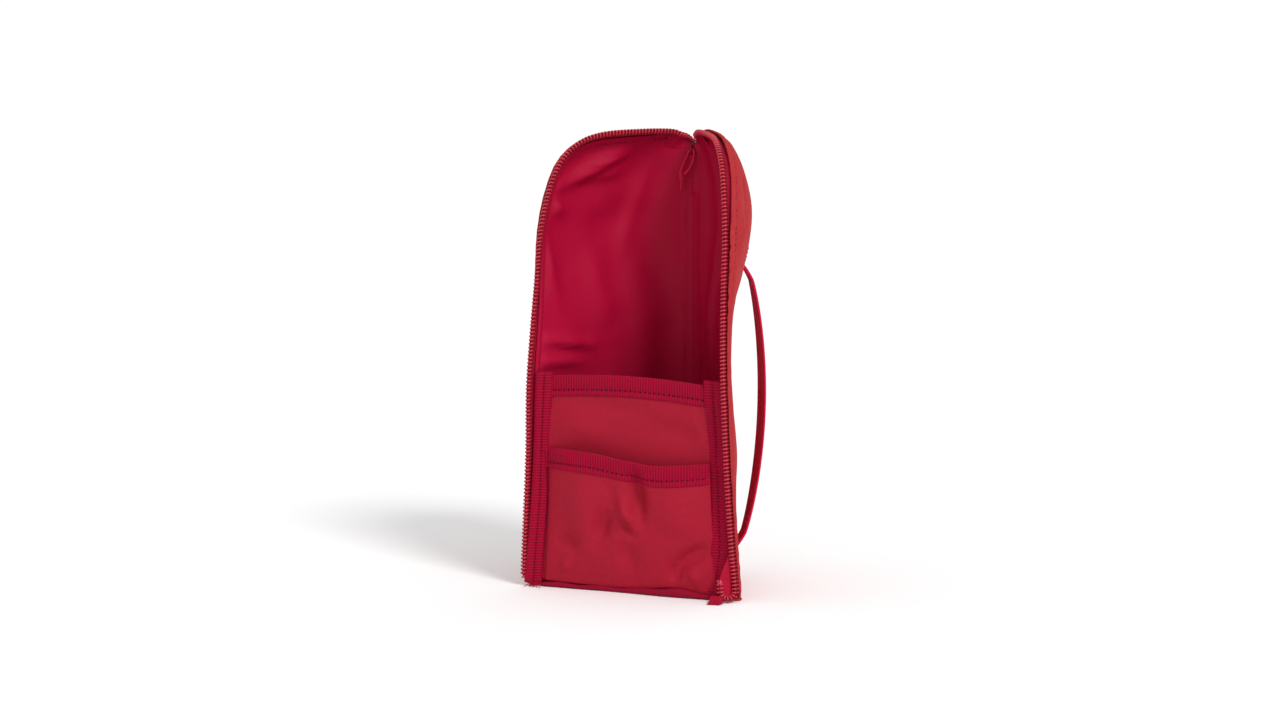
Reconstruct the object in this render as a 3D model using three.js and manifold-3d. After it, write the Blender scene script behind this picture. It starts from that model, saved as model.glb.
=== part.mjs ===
// Stand-up pencil pouch in padded fabric, shown open.
// Two mirrored halves turn about an upright spine at the back. Each half is a shallow dish
// of lining, padding and outer fabric, edged by a coil zip that runs up the front and over
// the top. A double pocket spans the front, a cord pull hangs from the zip slider, and a
// webbing hand strap is sewn to the right half.
// Axes: x to the right, y to the back, z up. The origin is the middle of the base, on the
// surface that the pouch stands on. Lengths are in millimetres.
import * as THREE from 'three';
import Module from 'manifold-3d';
import { mergeVertices } from 'three/addons/utils/BufferGeometryUtils.js';

const wasm = await Module();
wasm.setup();

// Overall form
const rimHeight = 208.7;      // highest point of the zip edge
const rimDepth = 88.5;        // zip edge to spine axis, measured along one half
const hingeY = 36;            // spine axis behind the middle of the base
const seamGap = 0.3;          // between pieces that touch
const rimStandoff = 1.4;      // coil centre from the plane where the two halves meet
const upperFullness = 12.8;   // how far a half swells out of that plane near the top
const rearFullness = 9;       // extra swell towards the spine
const rimRound = 50;          // width over which the swell grows from the zip edge
const spineRound = 30;        // width over which it grows from the spine
const spineStart = 1.6;       // rear edge of a half, along the half
const spineOffset = 3.6;      // rear edge of a half, out of the meeting plane
const spineEase = 6;          // length over which the rear edge blends into the swell
const rimRoundPower = 0.6;
const spineRoundPower = 0.5;
const probeStep = 0.2;        // step used to read the direction of a surface
const notchDrop = 5.5;        // top of the spine below the top of the zip edge
const halfTurn = Math.PI;
const quarterTurn = 0.5 * Math.PI;

// Opening of one half from the middle plane, in degrees, against height as a share
const openAngleShares = [
  [0, 37], [0.12, 35.4], [0.25, 34.2], [0.4, 33.2], [0.5, 32.8], [0.65, 33.2], [0.8, 34.2], [1, 34.8],
];
// Fullness against height, both as shares
const fullnessShares = [
  [0, 0], [0.15, 0.14], [0.3, 0.24], [0.52, 0.17], [0.62, 0.3], [0.7, 0.6], [0.8, 0.9], [0.92, 0.94],
  [1, 0.82],
];
// Layers of a half, from the inside out
const liningThickness = 0.6;
const paddingThickness = 1.2;
const outerThickness = 0.9;
const paddingOffset = liningThickness + seamGap;
const outerOffset = paddingOffset + paddingThickness + seamGap;
const wallThickness = outerOffset + outerThickness;
const hemInset = 6.5;         // fabric edge from the zip edge
const paddingInset = 13;      // padding edge from the zip edge
const wallSteps = 12;         // across a half
const rimSteps = 26;          // along the zip edge of a half
const rimProbes = 160;        // points on the zip edge that distances are read from

// Rows of a half run level up to this share of the spine, then spread towards its top
const spineTurnHeightShare = 0.72;
const spineTurnRimShare = 0.58;
const spineRowPower = 0.9;

// Zip
const tapeWidth = 11.5;
const tapeThickness = 0.8;
const coilRadius = 1.1;
const coilSides = 6;
const coilStartShare = 0.018;  // start of the coil along the zip edge
const tapeEndLength = 6;
const tapeEndWidth = 7;
const tapeEndThickness = 1.2;
const tapeEndTaperShare = 0.35;
const tapeEndShares = [0, 0.35, 0.7, 1];
const tapeColumnShares = [0, 0.2, 0.55, 1];
const stopStartShare = 0.004;  // start of the end stop along the zip edge
const stopLength = 3;

// Base
const basePanelThickness = 1.2;
const baseLiningThickness = 0.6;
const wallBottom = basePanelThickness + seamGap;
const baseLiningInset = 0.6;
const baseCorner = 8;          // cut across the front corners of the base
const baseFrontSetback = 2.6;  // front edge of the base behind the zip edge
const baseSteps = 14;

// Zip edge of one half: depth and height as shares of rimDepth and rimHeight
const rimShares = [
  [0.995, wallBottom / rimHeight], [0.997, 0.12], [0.992, 0.3], [0.995, 0.45], [0.972, 0.57], [0.938, 0.69],
  [0.908, 0.79], [0.862, 0.868], [0.79, 0.935], [0.68, 0.977], [0.53, 0.996], [0.3, 1],
  [0.12, 0.998], [0.055, 0.99],
];

// Front pocket
const pocketSideGap = 1;       // side of the pocket from the lining of the wall beside it
const pocketHeight = 97;
const pocketArch = 2.5;        // middle of the upper edge above its ends
const pocketSetback = 4.2;     // pocket behind the zip edge at the base
const frontPocketHeight = 65;
const frontPocketSag = 3.2;    // middle of the lower pocket's edge below its ends
const frontPocketSagShiftShare = 0.2;  // lowest point of that edge, towards the right
const frontPocketBulge = 9;
const bulgeAcrossPower = 0.6;
const bulgeUpPower = 0.7;
const pocketThickness = 0.8;
const pocketBindingHeight = 9;
const pocketBindingThickness = 0.7;
const sideBindingWidth = 7;
const sideBindingThickness = 0.9;
const sideBindingRise = 2.5;   // top of the side bindings above the pocket's ends
const pocketSteps = 14;
const pocketRows = 8;
const bisections = 24;

// Spine
const spineTapeHalfWidth = 8.5;
const spineTapeThickness = 0.8;
const spineTapeSetback = 0.7;  // spine tape behind the rear edges of the halves
const spineSlotHalfWidth = 0.6;
const sliderTravel = 12;
const sliderRestDrop = 0.6;    // top of the slider below the top of the spine

// Slider
const sliderLength = 9.5;
const sliderHalfWidth = 3.1;
const sliderNoseHalfWidth = 2.2;
const sliderPlateThickness = 1;
const sliderPostHalfWidth = 0.35;
const sliderPostLength = 3;
const sliderRunningGap = 0.35;
const chainCoilWidth = 1.4;
const chainCoilThickness = 1.3;
const bailWireRadius = 0.45;
const bailReach = 2.6;
const bailHeight = 4.4;
const bailPower = 0.7;         // below 1 the arch is squarer than round
const bailSteps = 8;

// Cord pull
const cordDiameter = 1.2;
const cordSides = 8;
const cordDrop = 12;
const cordSpread = 2.3;        // half the width of the loop low down
const cordClosureShare = 0.9;  // share of a full loop that the cord makes above its knot
const cordSteps = 24;
const cordWidePower = 0.8;
const cordTopPower = 0.1;      // narrows the loop towards the bail
const knotRadius = 1.4;
const knotSteps = 8;
const knotSides = 12;
const tailLength = 6;
const cordLean = 4;            // knot in front of the bail
const cordShift = 3.4;         // knot to the left of the bail

// Hand strap
const strapWidth = 11;
const strapThickness = 1.4;
const strapBottom = 9;
const strapTop = 158;
const strapDepth = 42;         // where the strap is sewn, along the right half
const strapBow = 9.7;
const strapBowPower = 0.65;
const strapLift = 1.7;         // free strap off the wall at its ends
const strapEndGap = 0.6;       // room for the free strap to sway beside its sewn ends
const strapSteps = 24;
const anchorLength = 9;
const anchorThickness = 1.3;

// Reads a table of [position, value] rows with a smooth curve through its rows.
function readTable(rows, x) {
  const last = rows.length - 1;
  const clamped = Math.min(Math.max(x, rows[0][0]), rows[last][0]);
  let i = 0;
  while (i < last - 1 && clamped > rows[i + 1][0]) i += 1;
  const slope = (a, b) => (rows[b][1] - rows[a][1]) / (rows[b][0] - rows[a][0]);
  const before = slope(Math.max(i - 1, 0), i + 1);
  const after = slope(i, Math.min(i + 2, last));
  const span = rows[i + 1][0] - rows[i][0];
  const t = (clamped - rows[i][0]) / span;
  const start = (2 * t - 3) * t * t + 1;
  const end = (3 - 2 * t) * t * t;
  const rise = ((t - 2) * t + 1) * t * span;
  const fall = (t - 1) * t * t * span;
  return start * rows[i][1] + end * rows[i + 1][1] + rise * before + fall * after;
}

// The zip edge in the meeting plane: x is the depth along the half, y the height.
const spineTop = rimHeight - notchDrop;
const rimCurve = new THREE.SplineCurve(
  rimShares.map(([depth, height]) => new THREE.Vector2(depth * rimDepth, height * rimHeight)));
const rimSamples = rimCurve.getSpacedPoints(rimProbes);

function distanceToRim(s, z) {
  let nearest = Infinity;
  for (const point of rimSamples) {
    nearest = Math.min(nearest, Math.hypot(point.x - s, point.y - z));
  }
  return nearest;
}

// Grows from 0 at an edge to 1 where share reaches 1, like a rounded edge.
function roundedRise(share, power) {
  const rest = 1 - Math.min(Math.max(share, 0), 1);
  return Math.pow(1 - rest * rest, power);
}

// How far the lining stands out of the meeting plane at depth s and height z.
function swell(s, z) {
  const fullness = upperFullness * readTable(fullnessShares, z / rimHeight)
    + rearFullness * (1 - s / rimDepth);
  const body = (depth) => rimStandoff
    + fullness * roundedRise(distanceToRim(depth, z) / rimRound, rimRoundPower)
    * roundedRise(depth / spineRound, spineRoundPower);
  const correction = spineOffset - body(spineStart);
  return body(s) + correction * Math.exp((spineStart - s) / spineEase);
}

// A point of a half. side is -1 for the left half and 1 for the right half.
function halfPoint(side, s, z, out) {
  const angle = THREE.MathUtils.degToRad(readTable(openAngleShares, z / rimHeight));
  return new THREE.Vector3(
    side * (s * Math.sin(angle) + out * Math.cos(angle)),
    hingeY - s * Math.cos(angle) + out * Math.sin(angle),
    z,
  );
}

function liningPoint(side, s, z) {
  return halfPoint(side, s, z, swell(s, z));
}

// A point at a given offset outside the lining of a half.
function skinPoint(side, s, z, offset) {
  const ahead = Math.max(s - probeStep, spineStart);
  const along = liningPoint(side, ahead + probeStep, z).sub(liningPoint(side, ahead, z));
  const up = liningPoint(side, s, z + probeStep).sub(liningPoint(side, s, z - probeStep));
  const normal = up.cross(along).multiplyScalar(side).normalize();
  return liningPoint(side, s, z).addScaledVector(normal, offset);
}

// Depth and height of a point at t along the zip edge, moved in from it by inset.
function insetRim(t, inset) {
  const point = rimCurve.getPointAt(t);
  const tangent = rimCurve.getTangentAt(t);
  return new THREE.Vector2(point.x - tangent.y * inset, point.y + tangent.x * inset);
}

// Height on the spine where the row of a half that ends at t on the zip edge begins.
function spineHeight(t) {
  const turn = spineTop * spineTurnHeightShare;
  if (t <= spineTurnRimShare) return Math.min(rimCurve.getPointAt(t).y, turn);
  const share = (t - spineTurnRimShare) / (1 - spineTurnRimShare);
  const from = Math.min(rimCurve.getPointAt(spineTurnRimShare).y, turn);
  return from + (spineTop - from) * Math.pow(share, spineRowPower);
}

// A closed solid between two grids of points with the same rows and columns.
function solidBetween(inner, outer) {
  const rows = inner.length;
  const columns = inner[0].length;
  const points = [...inner.flat(), ...outer.flat()];
  const index = (layer, row, column) => layer * rows * columns + row * columns + column;
  const faces = [];
  const quad = (a, b, c, d) => faces.push(a, b, c, a, c, d);
  for (let r = 0; r < rows - 1; r += 1) {
    for (let c = 0; c < columns - 1; c += 1) {
      quad(index(0, r, c), index(0, r, c + 1), index(0, r + 1, c + 1), index(0, r + 1, c));
      quad(index(1, r, c), index(1, r + 1, c), index(1, r + 1, c + 1), index(1, r, c + 1));
    }
  }
  for (let c = 0; c < columns - 1; c += 1) {
    quad(index(0, 0, c), index(1, 0, c), index(1, 0, c + 1), index(0, 0, c + 1));
    const r = rows - 1;
    quad(index(0, r, c), index(0, r, c + 1), index(1, r, c + 1), index(1, r, c));
  }
  for (let r = 0; r < rows - 1; r += 1) {
    quad(index(0, r, 0), index(0, r + 1, 0), index(1, r + 1, 0), index(1, r, 0));
    const c = columns - 1;
    quad(index(0, r, c), index(1, r, c), index(1, r + 1, c), index(0, r + 1, c));
  }
  return closedGeometry(points, faces);
}

// A geometry from points and triangles, turned so that its faces point out.
function closedGeometry(points, faces) {
  let volume = 0;
  for (let i = 0; i < faces.length; i += 3) {
    const [a, b, c] = [points[faces[i]], points[faces[i + 1]], points[faces[i + 2]]];
    volume += a.dot(b.clone().cross(c));
  }
  const ordered = volume < 0 ? faces.slice().reverse() : faces;
  const geometry = new THREE.BufferGeometry();
  geometry.setAttribute('position', new THREE.Float32BufferAttribute(
    points.flatMap((point) => [point.x, point.y, point.z]), 3));
  geometry.setIndex(ordered);
  geometry.computeVertexNormals();
  return geometry;
}

// A closed solid through a list of rings of points, flat at both ends.
function sweptSolid(rings) {
  const sides = rings[0].length;
  const points = rings.flat();
  const faces = [];
  for (let r = 0; r < rings.length - 1; r += 1) {
    for (let k = 0; k < sides; k += 1) {
      const next = (k + 1) % sides;
      const [a, b] = [r * sides + k, r * sides + next];
      faces.push(a, b, b + sides, a, b + sides, a + sides);
    }
  }
  const lastRing = (rings.length - 1) * sides;
  for (let k = 1; k < sides - 1; k += 1) {
    faces.push(0, k + 1, k, lastRing, lastRing + k, lastRing + k + 1);
  }
  return closedGeometry(points, faces);
}

// Rings of a round tube along a list of points.
function tubeRings(path, radius, sides) {
  const curve = new THREE.CatmullRomCurve3(path);
  const frames = curve.computeFrenetFrames(path.length - 1, false);
  return path.map((point, i) => Array.from({ length: sides }, (_, k) => {
    const angle = (2 * halfTurn * k) / sides;
    return point.clone()
      .addScaledVector(frames.normals[i], radius * Math.cos(angle))
      .addScaledVector(frames.binormals[i], radius * Math.sin(angle));
  }));
}

// Joins geometries that overlap into one solid.
function joined(geometries) {
  const solids = geometries.map((geometry) => {
    const bare = geometry.clone();
    bare.deleteAttribute('normal');
    bare.deleteAttribute('uv');
    const merged = mergeVertices(bare);
    return new wasm.Manifold(new wasm.Mesh({
      numProp: 3,
      vertProperties: new Float32Array(merged.attributes.position.array),
      triVerts: new Uint32Array(merged.index.array),
    }));
  });
  const mesh = solids.reduce((whole, solid) => whole.add(solid)).getMesh();
  const geometry = new THREE.BufferGeometry();
  geometry.setAttribute('position', new THREE.BufferAttribute(mesh.vertProperties, 3));
  geometry.setIndex(new THREE.BufferAttribute(mesh.triVerts, 1));
  geometry.computeVertexNormals();
  return geometry;
}

function box(x0, x1, y0, y1, z0, z1) {
  const geometry = new THREE.BoxGeometry(x1 - x0, y1 - y0, z1 - z0);
  geometry.translate((x0 + x1) / 2, (y0 + y1) / 2, (z0 + z1) / 2);
  return geometry;
}

// A flat plate from an outline in x and y, between two heights.
function plate(outline, z0, z1) {
  const shape = new THREE.Shape(outline.map((point) => new THREE.Vector2(point.x, point.y)));
  const geometry = new THREE.ExtrudeGeometry(shape, { depth: z1 - z0, bevelEnabled: false });
  geometry.translate(0, 0, z0);
  return geometry;
}

// Fabrics and metals, coloured as they look in daylight
const fabric = (color) => new THREE.MeshStandardMaterial({ color, roughness: 0.8, metalness: 0 });
const materials = {
  outer: fabric(0xb53a40),
  lining: fabric(0xa01438),
  padding: fabric(0xd8d2c8),
  pocket: fabric(0xac2c3a),
  binding: fabric(0x9c1134),
  tape: fabric(0xa81f38),
  coil: new THREE.MeshStandardMaterial({ color: 0xb04050, roughness: 0.45, metalness: 0 }),
  webbing: fabric(0x8f0a2a),
  metal: new THREE.MeshStandardMaterial({ color: 0x9a2234, roughness: 0.35, metalness: 0.6 }),
};

const pouch = new THREE.Group();
pouch.name = 'pencil_pouch';

function add(name, geometry, material) {
  const mesh = new THREE.Mesh(geometry, material);
  mesh.name = name;
  pouch.add(mesh);
  return mesh;
}

// A layer of one half: rows follow the zip edge, columns run from the spine to it.
function halfLayer(side, offset, thickness, inset) {
  const surface = (out) => Array.from({ length: rimSteps + 1 }, (_, r) => {
    const t = r / rimSteps;
    const end = insetRim(t, inset);
    const start = new THREE.Vector2(spineStart, Math.max(spineHeight(t), wallBottom));
    end.y = Math.max(end.y, wallBottom);
    return Array.from({ length: wallSteps + 1 }, (__, c) => {
      const place = start.clone().lerp(end, c / wallSteps);
      return skinPoint(side, place.x, place.y, out);
    });
  });
  return solidBetween(surface(offset), surface(offset + thickness));
}

// How far in from the zip edge the tape can start and still clear the coil.
function tapeStart(side, t) {
  const edge = rimCurve.getPointAt(t);
  const coil = halfPoint(side, edge.x, edge.y, rimStandoff);
  const clears = (inset) => {
    const place = insetRim(t, inset);
    return [paddingOffset, paddingOffset + tapeThickness].every((out) => (
      skinPoint(side, place.x, place.y, out).distanceTo(coil) > coilRadius + seamGap));
  };
  let inset = 0;
  while (!clears(inset)) inset += probeStep / 2;
  return inset;
}

// The zip tape of one half: a strip that carries the coil and lies between the layers.
function zipTape(side) {
  const rows = 2 * rimSteps;
  const starts = Array.from({ length: rows + 1 }, (_, r) => tapeStart(side, r / rows));
  const surface = (out) => starts.map((first, r) => (
    tapeColumnShares.map((share) => {
      const place = insetRim(r / rows, first + share * (tapeWidth - first));
      return skinPoint(side, place.x, Math.max(place.y, wallBottom), out);
    })));
  return solidBetween(surface(paddingOffset), surface(paddingOffset + tapeThickness));
}

// Points on the coil of one half, between two shares of the zip edge.
function coilPath(side, from, to, steps) {
  return Array.from({ length: steps + 1 }, (_, i) => {
    const place = rimCurve.getPointAt(from + (to - from) * (i / steps));
    return halfPoint(side, place.x, Math.max(place.y, wallBottom + coilRadius), rimStandoff);
  });
}

function zipCoil(side) {
  return sweptSolid(tubeRings(coilPath(side, coilStartShare, 1, 2 * rimSteps), coilRadius, coilSides));
}

// The end of the zip tape, folded in under the front corner of the base.
function tapeEnd(side) {
  const corner = coilPath(side, 0, coilStartShare, 1)[0];
  const inward = -side;
  const sections = tapeEndShares.map((share) => {
    const x = corner.x + inward * (coilRadius + seamGap + tapeEndLength * share);
    const y = corner.y - tapeEndThickness * Math.sin(share * quarterTurn);
    return [
      new THREE.Vector3(x, y, seamGap),
      new THREE.Vector3(x, y, tapeEndWidth * (1 - tapeEndTaperShare * share)),
    ];
  });
  const back = sections.map((row) => row.map(
    (point) => new THREE.Vector3(point.x, point.y + tapeEndThickness, point.z)));
  return solidBetween(sections, back);
}

// The stop at the lower end of a coil, clamped on the edge of the tape.
function zipTopStop(side) {
  const path = coilPath(side, stopStartShare, stopStartShare + stopLength / rimCurve.getLength(), 2);
  return sweptSolid(tubeRings(path, coilRadius, coilSides));
}

// Outline of the base in plan, offset from the lining of both halves.
function baseOutline(offset, frontY) {
  const right = [];
  for (let i = 0; i <= baseSteps; i += 1) {
    const s = spineStart + (rimDepth - hemInset - spineStart) * (i / baseSteps);
    right.push(skinPoint(1, s, wallBottom, offset));
  }
  const kept = right.filter((point) => point.y > frontY + baseCorner / 2);
  const front = kept[kept.length - 1].clone();
  kept.push(new THREE.Vector3(front.x - baseCorner, frontY, front.z));
  const left = kept.map((point) => new THREE.Vector3(-point.x, point.y, point.z)).reverse();
  return [...kept.reverse(), ...left.reverse()];
}

const frontEdge = halfPoint(1, rimDepth, 0, rimStandoff).y;
const pocketY = frontEdge + pocketSetback;
const pocketBottom = wallBottom + baseLiningThickness + seamGap;

// Half the width of the pocket at height z, between the linings of the two walls.
function pocketHalfWidth(z) {
  let near = spineStart;
  let far = rimDepth;
  for (let i = 0; i < bisections; i += 1) {
    const middle = (near + far) / 2;
    if (liningPoint(1, middle, z).y > pocketY) near = middle;
    else far = middle;
  }
  return liningPoint(1, near, z).x - pocketSideGap;
}

// Edges of the two pockets. across runs from -1 at the left side to 1 at the right side.
const upperEdge = (across) => pocketHeight + pocketArch * Math.cos(quarterTurn * across);
const lowerEdge = (across) => frontPocketHeight
  - frontPocketSag * Math.cos(quarterTurn * (across - frontPocketSagShiftShare));

// Distance of the lower pocket in front of the upper one.
function pocketBulge(across, z) {
  const sideways = Math.max(Math.cos(quarterTurn * across), 0);
  const up = Math.max(Math.sin(quarterTurn * Math.min((z - pocketBottom) / frontPocketHeight, 1)), 0);
  return frontPocketBulge * Math.pow(sideways, bulgeAcrossPower) * Math.pow(up, bulgeUpPower);
}

// A sheet across the front, from one edge height to another, at a distance in front of
// pocketY. sideInset draws its two sides in from those of the pocket.
function pocketSheet(sideInset, bottomAt, topAt, frontAt, thickness, rows) {
  const surface = (extra) => Array.from({ length: rows + 1 }, (_, r) => {
    const level = bottomAt(0) + (topAt(0) - bottomAt(0)) * (r / rows);
    const whole = pocketHalfWidth(level);
    return Array.from({ length: pocketSteps + 1 }, (__, c) => {
      const x = (whole - sideInset) * (2 * (c / pocketSteps) - 1);
      const across = x / whole;
      const z = bottomAt(across) + (topAt(across) - bottomAt(across)) * (r / rows);
      return new THREE.Vector3(x, pocketY - frontAt(across, z) - extra, z);
    });
  });
  return solidBetween(surface(0), surface(thickness));
}

// A ribbed tape down the side of the pocket, from its front face to the wall beside it.
function sideBinding(side) {
  const faceY = pocketY - pocketThickness - seamGap;
  const surface = (extra) => Array.from({ length: pocketRows + 1 }, (_, r) => {
    const z = pocketBottom + (pocketHeight + sideBindingRise - pocketBottom) * (r / pocketRows);
    const edge = pocketHalfWidth(z);
    return [edge - sideBindingWidth, edge + pocketSideGap - seamGap].map((x) => (
      new THREE.Vector3(side * x, faceY - extra, z)));
  });
  return solidBetween(surface(0), surface(sideBindingThickness));
}

// Halves
for (const [name, side] of [['left', -1], ['right', 1]]) {
  add(`${name}_lining`, halfLayer(side, 0, liningThickness, hemInset), materials.lining);
  add(`${name}_padding`, halfLayer(side, paddingOffset, paddingThickness, paddingInset), materials.padding);
  add(`${name}_outer_panel`, halfLayer(side, outerOffset, outerThickness, hemInset), materials.outer);
  add(`${name}_zip_tape`, zipTape(side), materials.tape);
  add(`${name}_zip_coil`, zipCoil(side), materials.coil);
  add(`${name}_zip_tape_end`, tapeEnd(side), materials.tape);
  add(`${name}_zip_top_stop`, zipTopStop(side), materials.metal);
  add(`${name}_pocket_side_binding`, sideBinding(side), materials.binding);
}

// Base
const baseFront = frontEdge + baseFrontSetback;
add('base_panel', plate(baseOutline(wallThickness, baseFront), 0, basePanelThickness), materials.outer);
add('base_lining', plate(baseOutline(-baseLiningInset, pocketY + seamGap), wallBottom,
  wallBottom + baseLiningThickness), materials.lining);

// Pocket: a back panel, a fuller front panel and a ribbed binding along each upper edge
const besideBinding = sideBindingWidth + seamGap;
const bottomEdge = () => pocketBottom;
const upperBindingBottom = (across) => upperEdge(across) - pocketBindingHeight;
const lowerBindingBottom = (across) => lowerEdge(across) - pocketBindingHeight;
const backPanelFront = () => 0;
const upperBindingFront = () => pocketThickness + seamGap;
const frontPanelFront = (across, z) => pocketThickness + seamGap + pocketBulge(across, z);
const lowerBindingFront = (across, z) => frontPanelFront(across, z) + pocketThickness + seamGap;
add('pocket_back_panel', pocketSheet(0, bottomEdge, upperEdge, backPanelFront, pocketThickness,
  pocketRows), materials.pocket);
add('pocket_upper_binding', pocketSheet(besideBinding, upperBindingBottom, upperEdge,
  upperBindingFront, pocketBindingThickness, 1), materials.binding);
add('pocket_front_panel', pocketSheet(besideBinding, bottomEdge, lowerEdge, frontPanelFront,
  pocketThickness, pocketRows), materials.pocket);
add('pocket_lower_binding', pocketSheet(besideBinding, lowerBindingBottom, lowerEdge,
  lowerBindingFront, pocketBindingThickness, 2), materials.binding);

// Spine: a tape behind the rear edges of the halves, slit at the top for the slider
const rearEdgeY = skinPoint(1, spineStart, spineTop / 2, wallThickness).y;
const spineY = rearEdgeY + spineTapeSetback;
const slitBottom = spineTop - sliderRestDrop - sliderLength - sliderTravel - seamGap;
const spineOutline = [
  [-spineTapeHalfWidth, wallBottom], [spineTapeHalfWidth, wallBottom],
  [spineTapeHalfWidth, spineTop], [spineSlotHalfWidth, spineTop],
  [spineSlotHalfWidth, slitBottom], [-spineSlotHalfWidth, slitBottom],
  [-spineSlotHalfWidth, spineTop], [-spineTapeHalfWidth, spineTop],
].map(([x, z]) => new THREE.Vector3(x, z, 0));
const spineTape = plate(spineOutline, 0, spineTapeThickness);
spineTape.rotateX(quarterTurn);
spineTape.translate(0, spineY + spineTapeThickness, 0);
add('spine_tape', spineTape, materials.binding);
for (const [name, side] of [['left', -1], ['right', 1]]) {
  const inner = side * spineSlotHalfWidth;
  const outer = side * (spineSlotHalfWidth + chainCoilWidth);
  add(`spine_coil_${name}`, box(Math.min(inner, outer), Math.max(inner, outer),
    spineY - seamGap - chainCoilThickness, spineY - seamGap, slitBottom, spineTop), materials.coil);
}
add('zip_bottom_stop', box(-sliderNoseHalfWidth, sliderNoseHalfWidth, spineY - seamGap - chainCoilThickness,
  spineY - seamGap, slitBottom - seamGap - stopLength, slitBottom - seamGap), materials.metal);

// Slider: two plates joined by a post that runs in the slit
const sliderTop = spineTop - sliderRestDrop;
const sliderBottom = sliderTop - sliderLength;
const frontPlateBack = spineY - seamGap - chainCoilThickness - sliderRunningGap;
const rearPlateFront = spineY + spineTapeThickness + sliderRunningGap;
function sliderPlate(y0) {
  const outline = [
    [-sliderNoseHalfWidth, sliderBottom], [sliderNoseHalfWidth, sliderBottom],
    [sliderHalfWidth, (sliderTop + sliderBottom) / 2], [sliderHalfWidth, sliderTop],
    [-sliderHalfWidth, sliderTop], [-sliderHalfWidth, (sliderTop + sliderBottom) / 2],
  ].map(([x, z]) => new THREE.Vector3(x, z, 0));
  const geometry = plate(outline, 0, sliderPlateThickness);
  geometry.rotateX(quarterTurn);
  geometry.translate(0, y0 + sliderPlateThickness, 0);
  return geometry;
}
const post = box(-sliderPostHalfWidth, sliderPostHalfWidth,
  frontPlateBack - sliderPlateThickness / 2, rearPlateFront + sliderPlateThickness / 2,
  sliderTop - sliderPostLength, sliderTop);
add('zip_slider_body', joined([
  sliderPlate(frontPlateBack - sliderPlateThickness), sliderPlate(rearPlateFront), post,
]), materials.metal);

// Bail: a wire arch on the slider's front plate, whose opening faces sideways
const bailFoot = frontPlateBack - sliderPlateThickness - seamGap;
const bailTop = sliderTop - bailWireRadius - seamGap;
const bailPath = Array.from({ length: bailSteps + 1 }, (_, i) => {
  const turn = (halfTurn * i) / bailSteps;
  return new THREE.Vector3(0, bailFoot - bailReach * Math.pow(Math.sin(turn), bailPower),
    bailTop - (bailHeight / 2) * (1 - Math.cos(turn)));
});
add('zip_slider_bail', sweptSolid(tubeRings(bailPath, bailWireRadius, cordSides)), materials.metal);

// Cord pull: one length of cord that passes through the bail and is knotted below it
const loopY = bailFoot - bailReach + bailWireRadius + seamGap + cordDiameter / 2;
const loopTop = bailTop - bailHeight / 2;
const cordPath = Array.from({ length: cordSteps + 1 }, (_, i) => {
  const turn = halfTurn * (2 * (i / cordSteps) - 1) * cordClosureShare;
  const drop = (1 - Math.cos(turn)) / 2;
  const wide = Math.sign(turn) * Math.pow(Math.abs(Math.sin(turn)), cordWidePower)
    * Math.pow(drop, cordTopPower);
  return new THREE.Vector3(cordSpread * wide - cordShift * drop * drop, loopY - cordLean * drop,
    loopTop - cordDrop * drop);
});
add('pull_cord', sweptSolid(tubeRings(cordPath, cordDiameter / 2, cordSides)), materials.webbing);
const knotZ = cordPath[cordSteps].z - seamGap - knotRadius;
const knotProfile = Array.from({ length: knotSteps + 1 }, (_, i) => {
  const turn = halfTurn * (i / knotSteps);
  return new THREE.Vector2(knotRadius * Math.sin(turn), -knotRadius * Math.cos(turn));
});
knotProfile[0].x = 0;
knotProfile[knotSteps].x = 0;
const knot = new THREE.LatheGeometry(knotProfile, knotSides);
knot.rotateX(quarterTurn);
knot.translate(-cordShift, loopY - cordLean, knotZ);
const tail = new THREE.CylinderGeometry(cordDiameter / 2, cordDiameter / 2, tailLength, cordSides);
tail.rotateX(quarterTurn);
tail.translate(-cordShift, loopY - cordLean, knotZ - knotRadius + cordDiameter - tailLength / 2);
add('pull_knot', joined([knot, tail]), materials.webbing);

// Hand strap: webbing sewn to the right half at its two ends and bowed out between them
const strapSeat = (z, across = 0, out = 0) => (
  skinPoint(1, strapDepth + across * strapWidth, z, wallThickness + seamGap + out));
const strapLow = strapSeat(strapBottom + anchorLength + strapEndGap);
const strapHigh = strapSeat(strapTop - anchorLength - strapEndGap);
const strapOut = strapSeat(strapTop, 0, strapWidth).sub(strapSeat(strapTop)).setZ(0).normalize();
const strapSide = new THREE.Vector3(-strapOut.y, strapOut.x, 0);
function strapAnchor(z0) {
  const surface = (out) => [0, 0.5, 1].map((share) => (
    [-0.5, 0, 0.5].map((across) => strapSeat(z0 + share * anchorLength, across, out))));
  return solidBetween(surface(0), surface(anchorThickness));
}
function freeStrap() {
  const surface = (out) => Array.from({ length: strapSteps + 1 }, (_, i) => {
    const share = i / strapSteps;
    const bow = strapLift + strapBow * Math.pow(Math.sin(halfTurn * share), strapBowPower);
    const middle = strapLow.clone().lerp(strapHigh, share).addScaledVector(strapOut, bow + out);
    return [-0.5, 0.5].map((across) => middle.clone().addScaledVector(strapSide, across * strapWidth));
  });
  return solidBetween(surface(0), surface(strapThickness));
}
add('strap_anchor_lower', strapAnchor(strapBottom), materials.webbing);
add('strap_anchor_upper', strapAnchor(strapTop - anchorLength), materials.webbing);
add('carry_strap', freeStrap(), materials.webbing);

export default pouch;
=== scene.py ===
import math

import bpy
import numpy as np
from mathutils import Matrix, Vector, noise


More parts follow.
